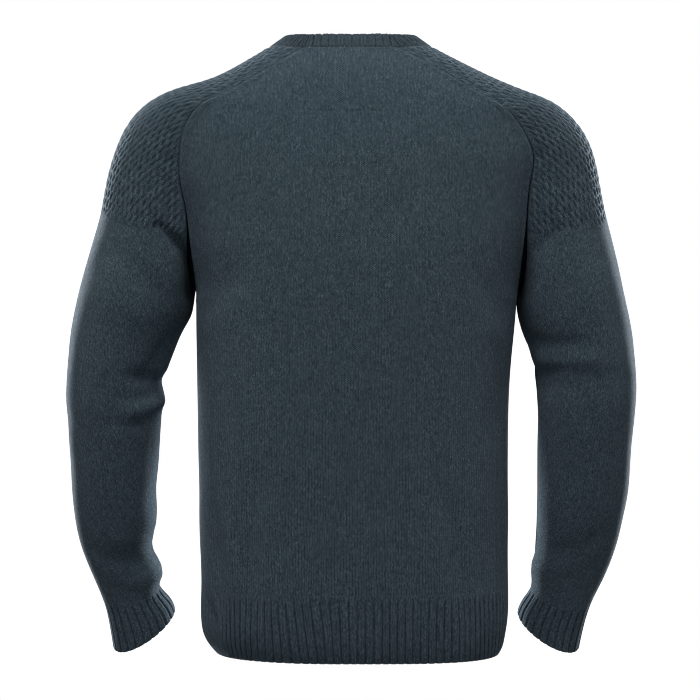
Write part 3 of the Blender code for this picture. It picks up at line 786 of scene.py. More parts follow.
def yoke_stitch(across, along):
    """The yoke stitch: long raised grains and narrow sunken slits by turns, set like bricks. From 0 in a slit to 1 on a grain."""
    across, along = yoke_place(across, along)
    k = np.round(across / YOKE_PITCH)
    along = along + 1.1 * np.sin(k * 2.4) + 0.8 * np.sin(k * 0.73 + along / 41.0)
    wave = np.cos(math.pi * across / YOKE_PITCH) * np.cos(2 * math.pi * along / YOKE_REPEAT)
    return 0.66 + 0.34 * np.maximum(wave, 0) ** 0.7 - 0.66 * np.maximum(-wave, 0) ** 0.85


def sleeve_seam_lie(off, along, sleeve):
    """Beside the seam the sleeve's cloth dips under the panel's edge. Under the arm it is a plain seam."""
    above = 1 - step(sleeve.closed - 24, sleeve.closed + 4, along)
    deep = 0.5 + 1.5 * step(230, 330, along)
    under = -1.5 * deep * bump(off, -0.6, 2.1)
    plain = -1.2 * bump(off, -0.2, 1.0) + 0.3 * bump(off, 2.6, 1.8)
    return under * above + plain * (1 - above)


def underarm_painted_shade(off, along, sleeve):
    """Painted shade in the hollow under the arm, where the sleeve is pressed to the body: how much darker its colour is
    made there.
    """
    reach = 9.0 + 17.0 * step(sleeve.closed - 52, sleeve.closed - 2, along)
    return 1.9 * bump(off, -3.0, reach) * step(sleeve.closed - 58, sleeve.closed - 38, along) * (1 - step(sleeve.closed + 2, sleeve.closed + 42, along))


def sleeve_knit(side, across, along):
    """Where each place of a sleeve lies in the knit. The yoke's stitches are wider and taller than the plain ones below them."""
    end = yoke_end(side, across)
    x, _ = yoke_place(across, along)
    u = np.where(along < end + 0.8, x * WALE / YOKE_PITCH, across)
    v = yoke_place(across, np.minimum(along, end))[1] * COURSE / YOKE_COURSE + np.maximum(along - end, 0)
    return np.stack([u, v], -1)


def sleeve_row(sleeve, along, steps=320):
    line = sleeve.point(along, np.linspace(-1, 1, 2 * steps + 1))
    run = lengths(line)
    return line, run - run[steps]


def sleeve_piece(side, finishes):
    piece = Piece("sleeve_%s_knit" % side)
    sleeve = SLEEVE[side]
    sign = sleeve.sign
    dense_end = 324.0
    held = CLOSE
    # base rows: points on a fine, even layout, from which normals and pushes are read
    top_rows = np.unique(np.r_[held, np.arange(1.6, dense_end - 0.4, 1.6), dense_end])
    low_rows = np.r_[np.arange(dense_end + 3.2, sleeve.closed - 2, 3.2), sleeve.closed]
    arm_rows = np.linspace(sleeve.closed, sleeve.cuff - CLOSE, 111)[1:]
    most = 215.0
    low, high = sleeve.cuff, 0.0

    def surface(rows, layout):
        """Points, across, distance from the nearer edge; layout gives each row's places from its two ends."""
        P, A, O = [], [], []
        for along in rows:
            line, at = sleeve_row(sleeve, along)
            gap = 0.0 if along >= sleeve.closed - 1e-6 else CLOSE
            a0, a1 = at[0] + gap, at[-1] - gap
            places = layout(a0, a1)
            P.append(np.stack([np.interp(places, at, line[:, k]) for k in range(3)], 1))
            A.append(places)
            O.append(np.minimum(places - a0, a1 - places))
        return np.array(P), np.array(A), np.array(O)

    def even(n):
        return lambda a0, a1: np.concatenate([np.linspace(a0, 0, n + 1), np.linspace(0, a1, n + 1)[1:]])

    def edged(fine, rest):
        def layout(a0, a1):
            return np.concatenate([-spread(-a0, fine, 1.3, rest)[::-1], spread(a1, fine, 1.3, rest)[1:]])

        return layout

    def out(P, wrap=False):
        n = normals(P, wrap)
        middle = P.mean(axis=1, keepdims=True)
        return n * (1.0 if np.sum(n * (P - middle)) >= 0 else -1.0)

    # the yoke: columns of points stand at fixed places round the sleeve, four to each column of the stitch, so that they follow it
    Pe, Ae, _ = surface(top_rows, even(60))
    ne = out(Pe)
    delta = YOKE_PITCH / 4
    previous = None
    inner_rows, inner_across = [], []
    lie_keep = coarse(len(top_rows), 7)
    for r, along in enumerate(top_rows):
        a0, a1 = Ae[r, 0], Ae[r, -1]
        inside = np.arange(math.ceil((a0 + 0.3 * delta) / delta), math.floor((a1 - 0.3 * delta) / delta) + 1) * delta
        places = np.r_[a0, inside, a1]
        off_back, off_front = a1 - places, places - a0
        off = np.minimum(off_back, off_front)
        p = np.stack([np.interp(places, Ae[r], Pe[r, :, k]) for k in range(3)], 1)
        n = np.stack([np.interp(places, Ae[r], ne[r, :, k]) for k in range(3)], 1)
        n /= np.linalg.norm(n, axis=1, keepdims=True)
        end = yoke_end(side, places) + 1.6 * np.sin(np.round(places / YOKE_PITCH) * 2.4)
        plain_band = 1.6 + 5.6 * (1 - step(45, 105, along))
        on = (1 - step(end - 3.5, end + 0.5, along)) * step(plain_band, plain_band + 2.4, off)
        on = on * step(1.0, 4.5, along)
        stitch = yoke_stitch(places, np.full_like(places, along))
        push = sleeve_push(side, places, along)
        rim = -1.2 * bump(along, -0.4, 1.6) + 0.4 * bump(along, 4.2, 2.2)
        groove = -0.7 * bump(off, plain_band, 1.1) * (1 - step(70, 115, along)) * step(2, 8, along)
        h = push + on * (1.2 * (stitch - 1) + 0.5) + sleeve_seam_lie(off, along, sleeve) + rim + groove
        # tone: painted shade in the yoke's slits and painted highlight on its grains; painted shade beside the seam,
        # deeper towards the underarm, at the neck edge, in the groove beside the plain band, and in the hollow under
        # the arm
        tone = on * (1.55 * (stitch - 1) + 0.45) - (0.35 + 0.5 * step(230, 320, along)) * bump(off, -0.3, 1.6) - 0.6 * bump(along, -0.2, 1.3)
        tone = tone + 0.7 * groove - underarm_painted_shade(off, along, sleeve)
        knit = sleeve_knit(side, places, np.full_like(places, along))
        numbers = piece.add(p + n * h[:, None], knit, bake_place(places, along, most, low, high, OUT_V), tone)
        if r == 0:
            first, first_at = numbers, places
        if previous is not None:
            piece.strip(previous[0], numbers, previous[1], places)
        previous = (numbers, places)
        if r == 0:
            edges_front, edges_back, edge_at = [numbers[0]], [numbers[-1]], [along]
        else:
            edges_front.append(numbers[0])
            edges_back.append(numbers[-1])
            edge_at.append(along)

    # the plain cloth down to the underarm, then the tube of the arm
    def plain(rows, wrap, finish=0):
        P, A, O = surface(rows, edged(8, 44))
        if wrap:
            P[:, -1] = P[:, 0]
        n = out(P, wrap)
        if wrap:
            n[:, -1] = n[:, 0]
        L = np.broadcast_to(rows[:, None], A.shape)
        push = sleeve_push(side, A, L)
        lie = sleeve_seam_lie(O, L, sleeve)
        if wrap:
            push[:, -1] = push[:, 0] = (push[:, 0] + push[:, -1]) / 2
        above = 1 - step(sleeve.closed - 20, sleeve.closed, L)
        # painted shade beside the seam where the sleeve dips under the panel's edge, along the seam under the arm, and
        # in the hollow under the arm
        tone = -0.85 * bump(O, -0.3, 1.6) * above - 0.5 * bump(O, 0, 1.0) * (1 - above) - underarm_painted_shade(O, L, sleeve)
        return P, A, O, n, L, push, lie, tone

    mid_rows = np.r_[dense_end, low_rows]
    P1, A1, O1, n1, L1, push1, lie1, tone1 = plain(mid_rows, False)
    P2, A2, O2, n2, L2, push2, lie2, tone2 = plain(np.r_[sleeve.closed, arm_rows], True)
    # at the underarm the two share one row
    n1[-1] = n2[0]
    push1[-1] = push2[0]
    lie1[-1] = lie2[0]
    P1[-1] = P2[0]
    o1 = piece.add(
        P1[1:] + n1[1:] * (push1 + lie1)[1:, :, None],
        sleeve_knit(side, A1[1:], L1[1:]),
        bake_place(A1[1:], L1[1:], most, low, high, OUT_V),
        tone1[1:],
    )
    piece.strip(previous[0], o1[0], previous[1], A1[1])
    piece.grid(o1)
    o2 = piece.add(
        P2 + n2 * (push2 + lie2)[..., None],
        sleeve_knit(side, A2, L2),
        bake_place(A2, L2, most, low, high, OUT_V),
        tone2,
    )
    piece.grid(o2)
    edges_front += list(o1[:, 0])
    edges_back += list(o1[:, -1])
    edge_at += list(low_rows)

    # the wrong side
    inner_top = np.r_[top_rows[lie_keep], low_rows]
    Pi, Ai, Oi = surface(inner_top, even(26))
    ni = out(Pi)
    Li = np.broadcast_to(inner_top[:, None], Ai.shape)
    pushi = sleeve_push(side, Ai, Li)
    lower = np.r_[sleeve.closed, arm_rows[coarse(len(arm_rows), 3)]]
    Pj, Aj, Oj = surface(lower, even(26))
    Pj[:, -1] = Pj[:, 0]
    nj = out(Pj, True)
    nj[:, -1] = nj[:, 0]
    Lj = np.broadcast_to(lower[:, None], Aj.shape)
    pushj = sleeve_push(side, Aj, Lj)
    pushj[:, -1] = pushj[:, 0] = (pushj[:, 0] + pushj[:, -1]) / 2
    Pi[-1], ni[-1], pushi[-1] = Pj[0], nj[0], pushj[0]
    i1 = piece.add(
        Pi + ni * (pushi - CLOTH)[..., None], np.stack([Ai, Li], -1), bake_place(Ai, Li, most, low, high, IN_V), -0.15
    )
    piece.grid(i1, 1)
    i2 = piece.add(
        Pj + nj * (pushj - CLOTH)[..., None], np.stack([Aj, Lj], -1), bake_place(Aj, Lj, most, low, high, IN_V), -0.15
    )
    piece.grid(i2, 1)
    piece.strip(first, i1[0], first_at, Ai[0])
    piece.strip(o2[-1], i2[-1], A2[-1], Aj[-1])
    # the wall along the two seams, as far as the underarm
    side_cap(piece, np.array(edges_front), i1[:, 0], edge_at, inner_top, CAP_V[0])
    side_cap(piece, np.array(edges_back), i1[:, -1], edge_at, inner_top, CAP_V[1])
    return piece.build(finishes)


# ---- ribs ----
def rib(t, line=0.12):
    """A rib across one repeat: a deep narrow groove, then a flat top with a finer line down it. 1 on top."""
    d = np.abs(t - np.round(t))
    crown = 1 - 0.1 * (np.clip(0.34 - d, 0, 1) / 0.34) ** 2
    return crown - 0.88 * np.exp(-((d / 0.115) ** 2)) - line * np.exp(-(((d - 0.5) / 0.085) ** 2))


def ribbed_wall(piece, P, n, out, knit, most, low, high, along, across, wrap, finishes_index=(0, 0), open_first=True, thickness=RIB, tone=None, roll=True):
    """A wall with the same points on both sides. Its last row is a free edge, rounded over."""
    T = thickness
    O = P + n * out[..., None]
    I = O - n * T
    if wrap:
        O[:, -1], I[:, -1] = O[:, 0], I[:, 0]
    outer = piece.add(O, knit, bake_place(across, along, most, low, high, OUT_V), tone)
    inner = piece.add(I, knit, bake_place(across, along, most, low, high, IN_V), tone - 0.1)
    piece.grid(outer, finishes_index[0])
    piece.grid(inner, finishes_index[1])
    way = P[-1] - P[-2]
    way -= n[-1] * np.sum(way * n[-1], axis=1, keepdims=True)
    way /= np.linalg.norm(way, axis=1, keepdims=True)
    middle, half = (O[-1] + I[-1]) / 2, T / 2
    previous = outer[-1]
    for k, angle in enumerate(np.radians([30, 60, 90, 120, 150])):
        ring = middle + n[-1] * half * math.cos(angle) + way * half * math.sin(angle)
        if wrap:
            ring[-1] = ring[0]
        place = bake_place(across[-1], np.full_like(across[-1], high), most, low, high, OUT_V) + (0, 0.0006 * (k + 1))
        numbers = piece.add(ring, knit[-1] + (0, 0.4 * (k + 1)), place, tone[-1])
        piece.strip(previous, numbers)
        previous = numbers
    piece.strip(previous, inner[-1])
    piece.strip(outer[0], inner[0])
    return outer, inner


# where some of the hem's grooves lie, round the cloth from the middle line. The ribs stand widest beside the middle of the back and
# close up towards the corners.
RIB_LINE_COLUMNS = ("across", "groove")
RIB_LINES = [
    (-292, -36),
    (-171, -22),
    (-144, -18),
    (-117, -14),
    (-73.5, -9),
    (-40.5, -5),
    (3, 0),
    (51, 5),
    (78, 8),
    (111, 12),
    (136.5, 16),
    (159, 20),
    (297, 36),
]


def welt(name, behind, finishes):
    """The ribbed hem of one panel."""
    piece = Piece(name)
    zs = HEM_TOP_Z - CLOSE + (HEM_Z + 1.5 - HEM_TOP_Z + CLOSE) * np.linspace(0, 1, 30) ** 0.92
    tops = {side: lengths(half_row(side, behind, HEM_TOP_Z))[-1] for side in SIGN}
    count = {side: int(round(tops[side] / HEM_PITCH * 11)) for side in SIGN}
    rows, acrosses = [], []
    for z in zs:
        points, across = [], []
        for side in ("right", "left"):
            line = half_row(side, behind, z)
            room = lengths(line)[-1] - 0.012
            # columns hang straight, and only those beside the edge close up as the corner rounds in
            d = np.linspace(0, tops[side], count[side] + 1)
            still = tops[side] - 45
            d = np.where(d < still, d, still + (d - still) * (room - still) / 45)
            p = at_lengths(line, d)
            if side == "right":
                points.append(p[:0:-1]), across.append(-d[:0:-1])
            else:
                points.append(p), across.append(d)
        rows.append(np.concatenate(points))
        acrosses.append(np.concatenate(across))
    P, across = np.array(rows), np.array(acrosses)
    Z = np.broadcast_to(zs[:, None], across.shape)
    deep = (HEM_TOP_Z - Z) / (HEM_TOP_Z - HEM_Z)
    # the ribs don't hang quite plumb: they drift and bend on their way down
    if behind:
        drift = -10.0 * bump(across, 48, 36) * (deep - 0.4) + 1.2 * bump(across, -92, 30) * (deep - 0.4)
    else:
        drift = 6.0 * bump(across, 30, 40) * (deep - 0.4) - 4.0 * bump(across, -70, 34) * (deep - 0.4)
    drift = drift + 0.5 * np.sin(math.pi * deep) * wander(across, 3.0 + behind, 47.0, 29.0)
    phase = np.interp(across - drift, [row[0] for row in RIB_LINES], [row[1] for row in RIB_LINES])
    n = turned_out(normals(P), P, [0, MIDDLE_Y, 0])
    # the two panels' edges meet all the way down the side seam
    n[:, [0, -1], 1] = 0
    n /= np.linalg.norm(n, axis=2, keepdims=True)
    which = np.round(phase).astype(int)
    late = chance(200, 5 + behind)[which + 100] * 2.0
    fade = step(0.4, 7.5, HEM_TOP_Z - Z - late - 1.2)
    uneven = 1 + 0.2 * chance(200, 9 + behind)[which + 100]
    flat = 1 - 0.72 * step(136, 150, across) * (1 - step(200, 218, across)) * behind
    profile = rib(phase)
    h = fade * uneven * flat * 1.7 * (profile - 1)
    push = torso_push(behind, across, Z)
    edge_off = np.minimum(across - across[:, :1], across[:, -1:] - across)
    crease = np.zeros_like(across)
    if behind:
        # where the corner turns in, the cloth lies over in slanting creases
        for a0, z0, a1, z1, d in ((192, -584, 158, -624, -1.5), (178, -586, 152, -630, -1.2), (163, -590, 151, -604, -0.8)):
            t = (Z - z0) / (z1 - z0)
            crease += d * bump(across, a0 + (a1 - a0) * t, 2.1) * step(-0.1, 0.4, t) * (1 - step(0.7, 1.1, t))
    lie = -1.3 * bump(edge_off, -0.2, 1.0) + crease
    # tone: painted shade in the ribs' grooves, at the side seam and in the slanting creases
    tone = fade * flat * (profile - 1) * 1.25 - 0.5 * bump(edge_off, 0, 0.9) + 0.7 * crease
    most, low, high = 1.02 * np.abs(across).max(), HEM_TOP_Z, HEM_Z - 4
    knit = np.stack([phase * HEM_PITCH, Z], -1)
    outer, inner = ribbed_wall(piece, P, n, h + push + lie, knit, most, low, high, Z, across, False, tone=tone)
    close_sides(piece, outer, inner)
    return piece.build(finishes)


def close_sides(piece, outer, inner):
    """Closes both side edges of a ribbed wall, with the rounded end of its free edge."""
    for k, column in enumerate((0, -1)):
        a, b = outer[:, column], inner[:, column]
        at = np.linspace(0, 1, len(a))
        side_cap(piece, a, b, at, at, CAP_V[k])
        # the half disc at the end of the rim: the rim's rings are the five blocks added after the two grids
        rings = []
        start = inner.size + inner.reshape(-1)[0]
        for r in range(5):
            ring = np.arange(start + r * outer.shape[1], start + (r + 1) * outer.shape[1])
            rings.append(ring[column])
        fan = [a[-1], *rings, b[-1]]
        place = np.array([[0.5, CAP_V[2 + k]]]) + np.array([[0.01 * math.cos(q), 0.002 * math.sin(q)] for q in np.linspace(0, math.pi, 7)])
        fan = piece.again(np.array(fan), place)
        piece.faces.append((np.array([(fan[0], fan[i], fan[i + 1], fan[i + 1]) for i in range(1, 6)]), 0))


def cuff(side, finishes):
    piece = Piece("cuff_%s_rib" % side)
    sleeve = SLEEVE[side]
    alongs = np.linspace(sleeve.cuff + CLOSE, sleeve.end - 1.6, 26)
    line, at = sleeve_row(sleeve, sleeve.cuff)
    ribs = int(round((at[-1] - at[0]) / CUFF_PITCH))
    turn_of = np.linspace(-1, 1, len(at))
    share = np.linspace(0, 1, ribs * 11 + 1)
    turns = np.interp(at[0] + share * (at[-1] - at[0]), at, turn_of)
    P = np.array([sleeve.point(a, turns) for a in alongs])
    P[:, -1] = P[:, 0]
    across = np.broadcast_to(at[0] + share * (at[-1] - at[0]), P.shape[:2])
    A = np.broadcast_to(alongs[:, None], across.shape)
    n = normals(P, True)
    n = n * (1.0 if np.sum(n * (P - P.mean(axis=1, keepdims=True))) >= 0 else -1.0)
    n[:, -1] = n[:, 0]
    phase = np.broadcast_to(share * ribs, across.shape)
    which = np.floor(phase[0]).astype(int) % ribs
    late = chance(ribs, 21 + (side == "left"))[which] * 2.0
    fade = step(0.4, 7.0, A - sleeve.cuff - late - 1.2)
    profile = rib(phase + 0.5)
    h = fade * 1.7 * (profile - 1) * (1 + 0.2 * chance(ribs, 31)[which])
    deep = (A - sleeve.cuff) / (sleeve.end - sleeve.cuff)
    soft = 0.7 * np.sin(2 * math.pi * share * 3 + (1 if side == "left" else 2.4)) * np.sin(math.pi * deep)
    push = sleeve_push(side, across, A)
    push = push + 0 * across
    push[:, -1] = push[:, 0] = (push[:, 0] + push[:, -1]) / 2
    h[:, -1] = h[:, 0]
    soft[:, -1] = soft[:, 0]
    # painted shade in the ribs' grooves
    tone = fade * (profile - 1) * 1.25
    most, low, high = 1.02 * np.abs(across).max(), sleeve.cuff, sleeve.end + 4
    knit = np.stack([phase * CUFF_PITCH, A], -1)
    ribbed_wall(piece, P, n, h + push + soft, knit, most, low, high, A, across, True, tone=tone)
    return piece.build(finishes)


def neck_line(side, steps=900):
    """The neckband's seam on one side, from the middle of the back to the point of the V, with its two corners softened."""
    sleeve = SLEEVE[side]
    back = half_row(side, True, NECK_Z)
    over = sleeve.point(0.0, np.linspace(1, -1, 81))
    down = []
    for z in np.linspace(over[-1, 2], V_Z, 160)[1:]:
        row = half_row(side, False, z)
        x = v_x(z)
        down.append([SIGN[side] * x, np.interp(x, np.abs(row[:, 0]), row[:, 1]), z])
    line = np.concatenate([back[:-1], over, np.array(down)])
    run = lengths(line)
    even = at_lengths(line, np.linspace(0, run[-1], steps))
    soft = even.copy()
    for _ in range(54):
        soft[1:-1] = soft[1:-1] * 0.5 + (soft[:-2] + soft[2:]) * 0.25
    return soft


def band_half(side, widths, columns):
    line = neck_line(side)
    run = lengths(line)
    tangent = np.gradient(line, axis=0)
    tangent /= np.linalg.norm(tangent, axis=1, keepdims=True)
    inward = (np.array([0, 6.0, 0]) - line) * (1, 1, 0)
    inward /= np.linalg.norm(inward, axis=1, keepdims=True)
    stand = np.radians(47 + 7 * step(30, 85, np.abs(line[:, 0])))[:, None]
    upright = inward * np.sin(stand) + np.array([0, 0, 1]) * np.cos(stand)
    slope = np.stack([-SIGN[side] * np.ones(len(line)), np.zeros(len(line)), np.full(len(line), 0.35)], 1)
    slope[:, 1] = -0.18 + 0.5 * step(V_Z, -40, line[:, 2])
    on_chest = step(-25, -95, line[:, 2]) * (line[:, 1] < 0)
    way = upright * (1 - on_chest[:, None]) + slope * on_chest[:, None]
    way -= tangent * np.sum(way * tangent, axis=1, keepdims=True)
    way /= np.linalg.norm(way, axis=1, keepdims=True)
    half_angle = math.atan2(abs(tangent[-1, 0]), abs(tangent[-1, 2]))
    front = np.flatnonzero((line[:, 1] < 0) & (line[:, 2] < -40))[0]
    chest = run[front]
    marks = np.linspace(0, run[-1], columns + 1)
    grid = np.zeros((len(widths), len(marks), 3))
    for r, width in enumerate(widths):
        short = width / math.tan(half_angle)
        places = marks - short * np.clip((marks - chest) / (run[-1] - chest), 0, 1)
        lift = np.stack([np.interp(places, run, way[:, k]) for k in range(3)], 1)
        lift /= np.linalg.norm(lift, axis=1, keepdims=True)
        grid[r] = at_lengths(line, places) + lift * width
    return grid, marks


def band(finishes):
    """The neckband, ribbed all round, with a mitre at the point of the V."""
    piece = Piece("neckband_rib")
    widths = np.linspace(CLOSE, BAND_WIDTH - 1.6, 15)
    halves = {}
    for side in SIGN:
        total = lengths(neck_line(side))[-1]
        halves[side] = band_half(side, widths, int(round(total / BAND_PITCH * 12)))
    left, lm = halves["left"]
    right, rm = halves["right"]
    # neither side crosses the middle at the mitre
    for half, sign in ((left, 1.0), (right, -1.0)):
        chest = (half[..., 1] < 0) & (half[..., 2] < -60)
        half[..., 0] = np.where(chest, sign * np.maximum(half[..., 0] * sign, 0), half[..., 0])
    for c in (0, -1):
        shared = (left[:, c] + right[:, c]) / 2 * (0, 1, 1)
        left[:, c] = right[:, c] = shared
    P = np.concatenate([left, right[:, ::-1][:, 1:]], axis=1)
    P[:, -1] = P[:, 0]
    # how far round from the middle of the back: rises to the V on the left, then comes back on the right
    out_way = np.r_[lm, rm[::-1][1:]]
    around = np.r_[lm, lm[-1] + (rm[-1] - rm[::-1][1:])]
    A = np.broadcast_to(around, P.shape[:2])
    W = np.broadcast_to(widths[:, None], A.shape)
    n = normals(P, True)
    n[:, -1] = n[:, 0]
    back = n[:, : 20, 1].sum()
    n = n * (1.0 if back > 0 else -1.0)
    # at the mitre both sides lie in one face of the cloth
    tip = len(lm) - 1
    beside = n[:, tip - 60] + n[:, tip + 60]
    beside /= np.linalg.norm(beside, axis=1, keepdims=True)
    near = 1 - step(26, 60, np.abs(np.arange(len(around)) - tip))[None, :, None]
    n = n * (1 - near) + beside[:, None] * near
    n /= np.linalg.norm(n, axis=2, keepdims=True)
    phase = np.broadcast_to(out_way / BAND_PITCH, A.shape)
    which = np.floor(phase[0]).astype(int)
    fade = step(0.6, 4.0, W + 0.5 * chance(100, 41)[which])
    profile = rib(phase, 0.5)
    mild = 0.4 + 0.6 * step(18, 60, out_way)
    h = fade * (1.9 * mild * (profile - 1) + 0.3) - 0.9 * bump(W, 0.0, 1.5)
    # the free edge is scalloped by the ribs, and the band is not quite even in height
    way = np.gradient(P, axis=0)
    way /= np.linalg.norm(way, axis=2, keepdims=True)
    notch = np.maximum(0, np.cos(2 * math.pi * (out_way / 18.2 + 0.12 * wander(around, 23.0, 53.0, 91.0)))) ** 3
    lift = (0.35 * (profile - 0.7) - 0.8 * notch + 0.4 * wander(A, 17.0, 71.0, 113.0)) * step(8, BAND_WIDTH, W)
    P = P + way * lift[..., None]
    P[:, -1] = P[:, 0]
    h = h + 0 * A
    h[:, -1] = h[:, 0]
    # painted shade in the ribs' grooves and in the linking dots along the seam, and the band as a whole darker
    tone = fade * mild * (profile - 1) * 1.7 + 1.2 * neck_linking_painted_shade(A) * bump(W, 0.2, 1.6) - 0.5
    tone[:, -1] = tone[:, 0]
    most = around[-1] / 2 * 1.02
    knit = np.stack([phase * BAND_PITCH, W], -1)
    ribbed_wall(piece, P, n, h, knit, most, 0, BAND_WIDTH + 4, W, A - around[-1] / 2, True, tone=tone)
    return piece.build(finishes)


# ---- materials ----
class Value:
    """A number in a material's tree, for writing its sums plainly."""

    def __init__(self, tree, socket):
        self.tree, self.socket = tree, socket

    def _do(self, operation, *others, clamp=False):
        node = self.tree.nodes.new("ShaderNodeMath")
        node.operation = operation
        node.use_clamp = clamp
        for k, value in enumerate((self, *others)):
            if isinstance(value, Value):
                self.tree.links.new(value.socket, node.inputs[k])
            else:
                node.inputs[k].default_value = value
        return Value(self.tree, node.outputs[0])

    def __add__(self, other):
        return self._do("ADD", other)

    def __sub__(self, other):
        return self._do("SUBTRACT", other)

    def __mul__(self, other):
        return self._do("MULTIPLY", other)

    def __truediv__(self, other):
        return self._do("DIVIDE", other)

    __radd__, __rmul__ = __add__, __mul__

    def __rsub__(self, other):
        return (self * -1.0) + other

    def fract(self):
        return self._do("FRACT")

    def floor(self):
        return self._do("FLOOR")

    def abs(self):
        return self._do("ABSOLUTE")

    def sin(self):
        return self._do("SINE")

    def power(self, k):
        return self._do("POWER", k)

    def most(self, other):
        return self._do("MAXIMUM", other)

    def least(self, other):
        return self._do("MINIMUM", other)

    def clamp(self):
        return self._do("ADD", 0.0, clamp=True)


def vector(tree, x, y, z=0.0):
    node = tree.nodes.new("ShaderNodeCombineXYZ")
    for k, value in enumerate((x, y, z)):
        if isinstance(value, Value):
            tree.links.new(value.socket, node.inputs[k])
        else:
            node.inputs[k].default_value = value
    return node.outputs[0]


def noise(tree, place, scale, detail=2.0, rough=0.5):
    node = tree.nodes.new("ShaderNodeTexNoise")
    node.noise_dimensions = "3D"
    node.inputs["Scale"].default_value = scale
    node.inputs["Detail"].default_value = detail
    node.inputs["Roughness"].default_value = rough
    tree.links.new(place, node.inputs["Vector"])
    return Value(tree, node.outputs["Fac"])


def speck(tree, place):
    node = tree.nodes.new("ShaderNodeTexWhiteNoise")
    node.noise_dimensions = "3D"
    tree.links.new(place, node.inputs["Vector"])
    return Value(tree, node.outputs["Value"])


def wool(name, stitch, base, wale=WALE, course=COURSE, relief=0.00075, shade=0.45, lines=0.36):
    """Heathered wool in one stitch: its fibres, the yarn's own twist and mixed colours, the stitches' relief as bumps
    and as painted shade and highlight in the colour, and the nap on top.
    base is the cloth's mean colour, and stitch is plain, wrong (the wrong side of the plain knit), yoke or rib."""
    m = bpy.data.materials.new(name)
    m.use_nodes = True
    tree = m.node_tree
    shader = tree.nodes["Principled BSDF"]
    uv = tree.nodes.new("ShaderNodeUVMap")
    uv.uv_map = "knit"
    split = tree.nodes.new("ShaderNodeSeparateXYZ")
    tree.links.new(uv.outputs["UV"], split.inputs[0])
    u, v = Value(tree, split.outputs["X"]), Value(tree, split.outputs["Y"])
    # the shells' tone: mostly painted shade and highlight in seams, grooves, slits, creases and under the arm, with the
    # wrong side a little darker
    attribute = tree.nodes.new("ShaderNodeAttribute")
    attribute.attribute_name = "tone"
    tone = Value(tree, attribute.outputs["Fac"])

    # hand of the machine: stitches are not quite even
    place = vector(tree, u, v)
    drift = noise(tree, vector(tree, u, v * 0.35), 26.0, 1.0) - 0.5
    drift2 = noise(tree, vector(tree, v * 1.3, u), 70.0, 2.0) - 0.5
    x = u / (wale * MM) + drift * 3.0
    y = v / (course * MM) + drift2 * 0.4
    fx = x.fract()
    a = (fx - 0.5).abs() * 2.0
    if stitch == "wrong":
        wave = (x * (2 * math.pi)).sin() * 0.22
        t = (y + wave).fract()
        yarn = (t * 4.0) * (1.0 - t)
        relief_map = yarn.power(0.6) * 0.8 + a * 0.2
        cell = vector(tree, x.floor(), (y + wave).floor(), 3.0)
        twist = (y + wave * 2.0 + x * 1.7)
    else:
        t = (y - a * 0.85).fract()
        yarn = (t * 4.0) * (1.0 - t)
        leg = (a * 4.0) * (1.0 - a)
        relief_map = (yarn.power(0.55) * leg.power(0.45)).most(0.0)
        cell = vector(tree, (x * 2.0).floor(), (y - a * 0.85).floor(), 1.0)
        twist = y * 0.9 + a * 2.3
    one = speck(tree, cell)

    # fibres: long along the yarn, of several shades; loose ones lie anyhow
    fibre_place = vector(tree, x * 1.9, twist * 0.9 + y * 0.4, one * 7.0)
    fibre = noise(tree, fibre_place, 2.6, 3.0, 0.62)
    loose = noise(tree, vector(tree, u, v * 0.9, 0.31), 1000.0, 1.0, 0.7)
    grain = speck(tree, vector(tree, (u * 880.0 + fibre * 3.0).floor(), (v * 860.0 + one * 2.0).floor(), 5.0))
    cloud = noise(tree, place, 26.0, 3.0, 0.55)

    ramp = tree.nodes.new("ShaderNodeValToRGB")
    mix = (one - 0.5) * 0.46 + (fibre - 0.5) * 0.33 + (loose - 0.5) * 0.7 + (grain - 0.5) * 0.42 + (cloud - 0.5) * 0.05 + 0.5
    tree.links.new(mix.clamp().socket, ramp.inputs["Fac"])
    e = ramp.color_ramp.elements
    e[0].position, e[0].color = 0.10, (base[0] * 0.42, base[1] * 0.46, base[2] * 0.50, 1)
    e[1].position, e[1].color = 0.93, (base[0] * 2.35, base[1] * 2.1, base[2] * 1.95, 1)
    for position, colour in (
        (0.33, (base[0] * 0.72, base[1] * 0.80, base[2] * 0.84, 1)),
        (0.52, (base[0] * 1.02, base[1] * 1.01, base[2] * 0.99, 1)),
        (0.70, (base[0] * 1.36, base[1] * 1.25, base[2] * 1.20, 1)),
    ):
        element = e.new(position)
        element.color = colour

    # painted shade down between the stitches and along the courses, where less light reaches and the nap is thinner;
    # the relief term below adds painted shade in the stitches' pits and painted highlight on their tops
    between = a.power(3.0) if stitch != "wrong" else yarn * 0.0
    rows = ((y.fract() - 0.5).abs() * 2.0).power(2.0)
    # the wales stand out where the cloth hangs and less where it is drawn over the shoulders, and there the courses show instead
    hang = (v * -3.2 - 0.05 + (cloud - 0.5) * 0.8).most(0.5).least(1.5)
    value = (
        (relief_map - 0.62) * shade
        + 1.0
        + 0.4 * lines
        - between * hang * lines
        - rows * (1.5 - hang).most(0.2) * (0.7 * lines)
    ) * ((tone * 0.5 + 1.0).most(0.15))
    scale = tree.nodes.new("ShaderNodeVectorMath")
    scale.operation = "SCALE"
    tree.links.new(ramp.outputs["Color"], scale.inputs[0])
    tree.links.new(value.socket, scale.inputs["Scale"])
    tree.links.new(scale.outputs[0], shader.inputs["Base Color"])

    height = relief_map + (fibre - 0.5) * 0.35 + (loose - 0.5) * 0.30
    bump_node = tree.nodes.new("ShaderNodeBump")
    bump_node.inputs["Strength"].default_value = 1.0
    bump_node.inputs["Distance"].default_value = relief
    tree.links.new(height.socket, bump_node.inputs["Height"])
    tree.links.new(bump_node.outputs[0], shader.inputs["Normal"])

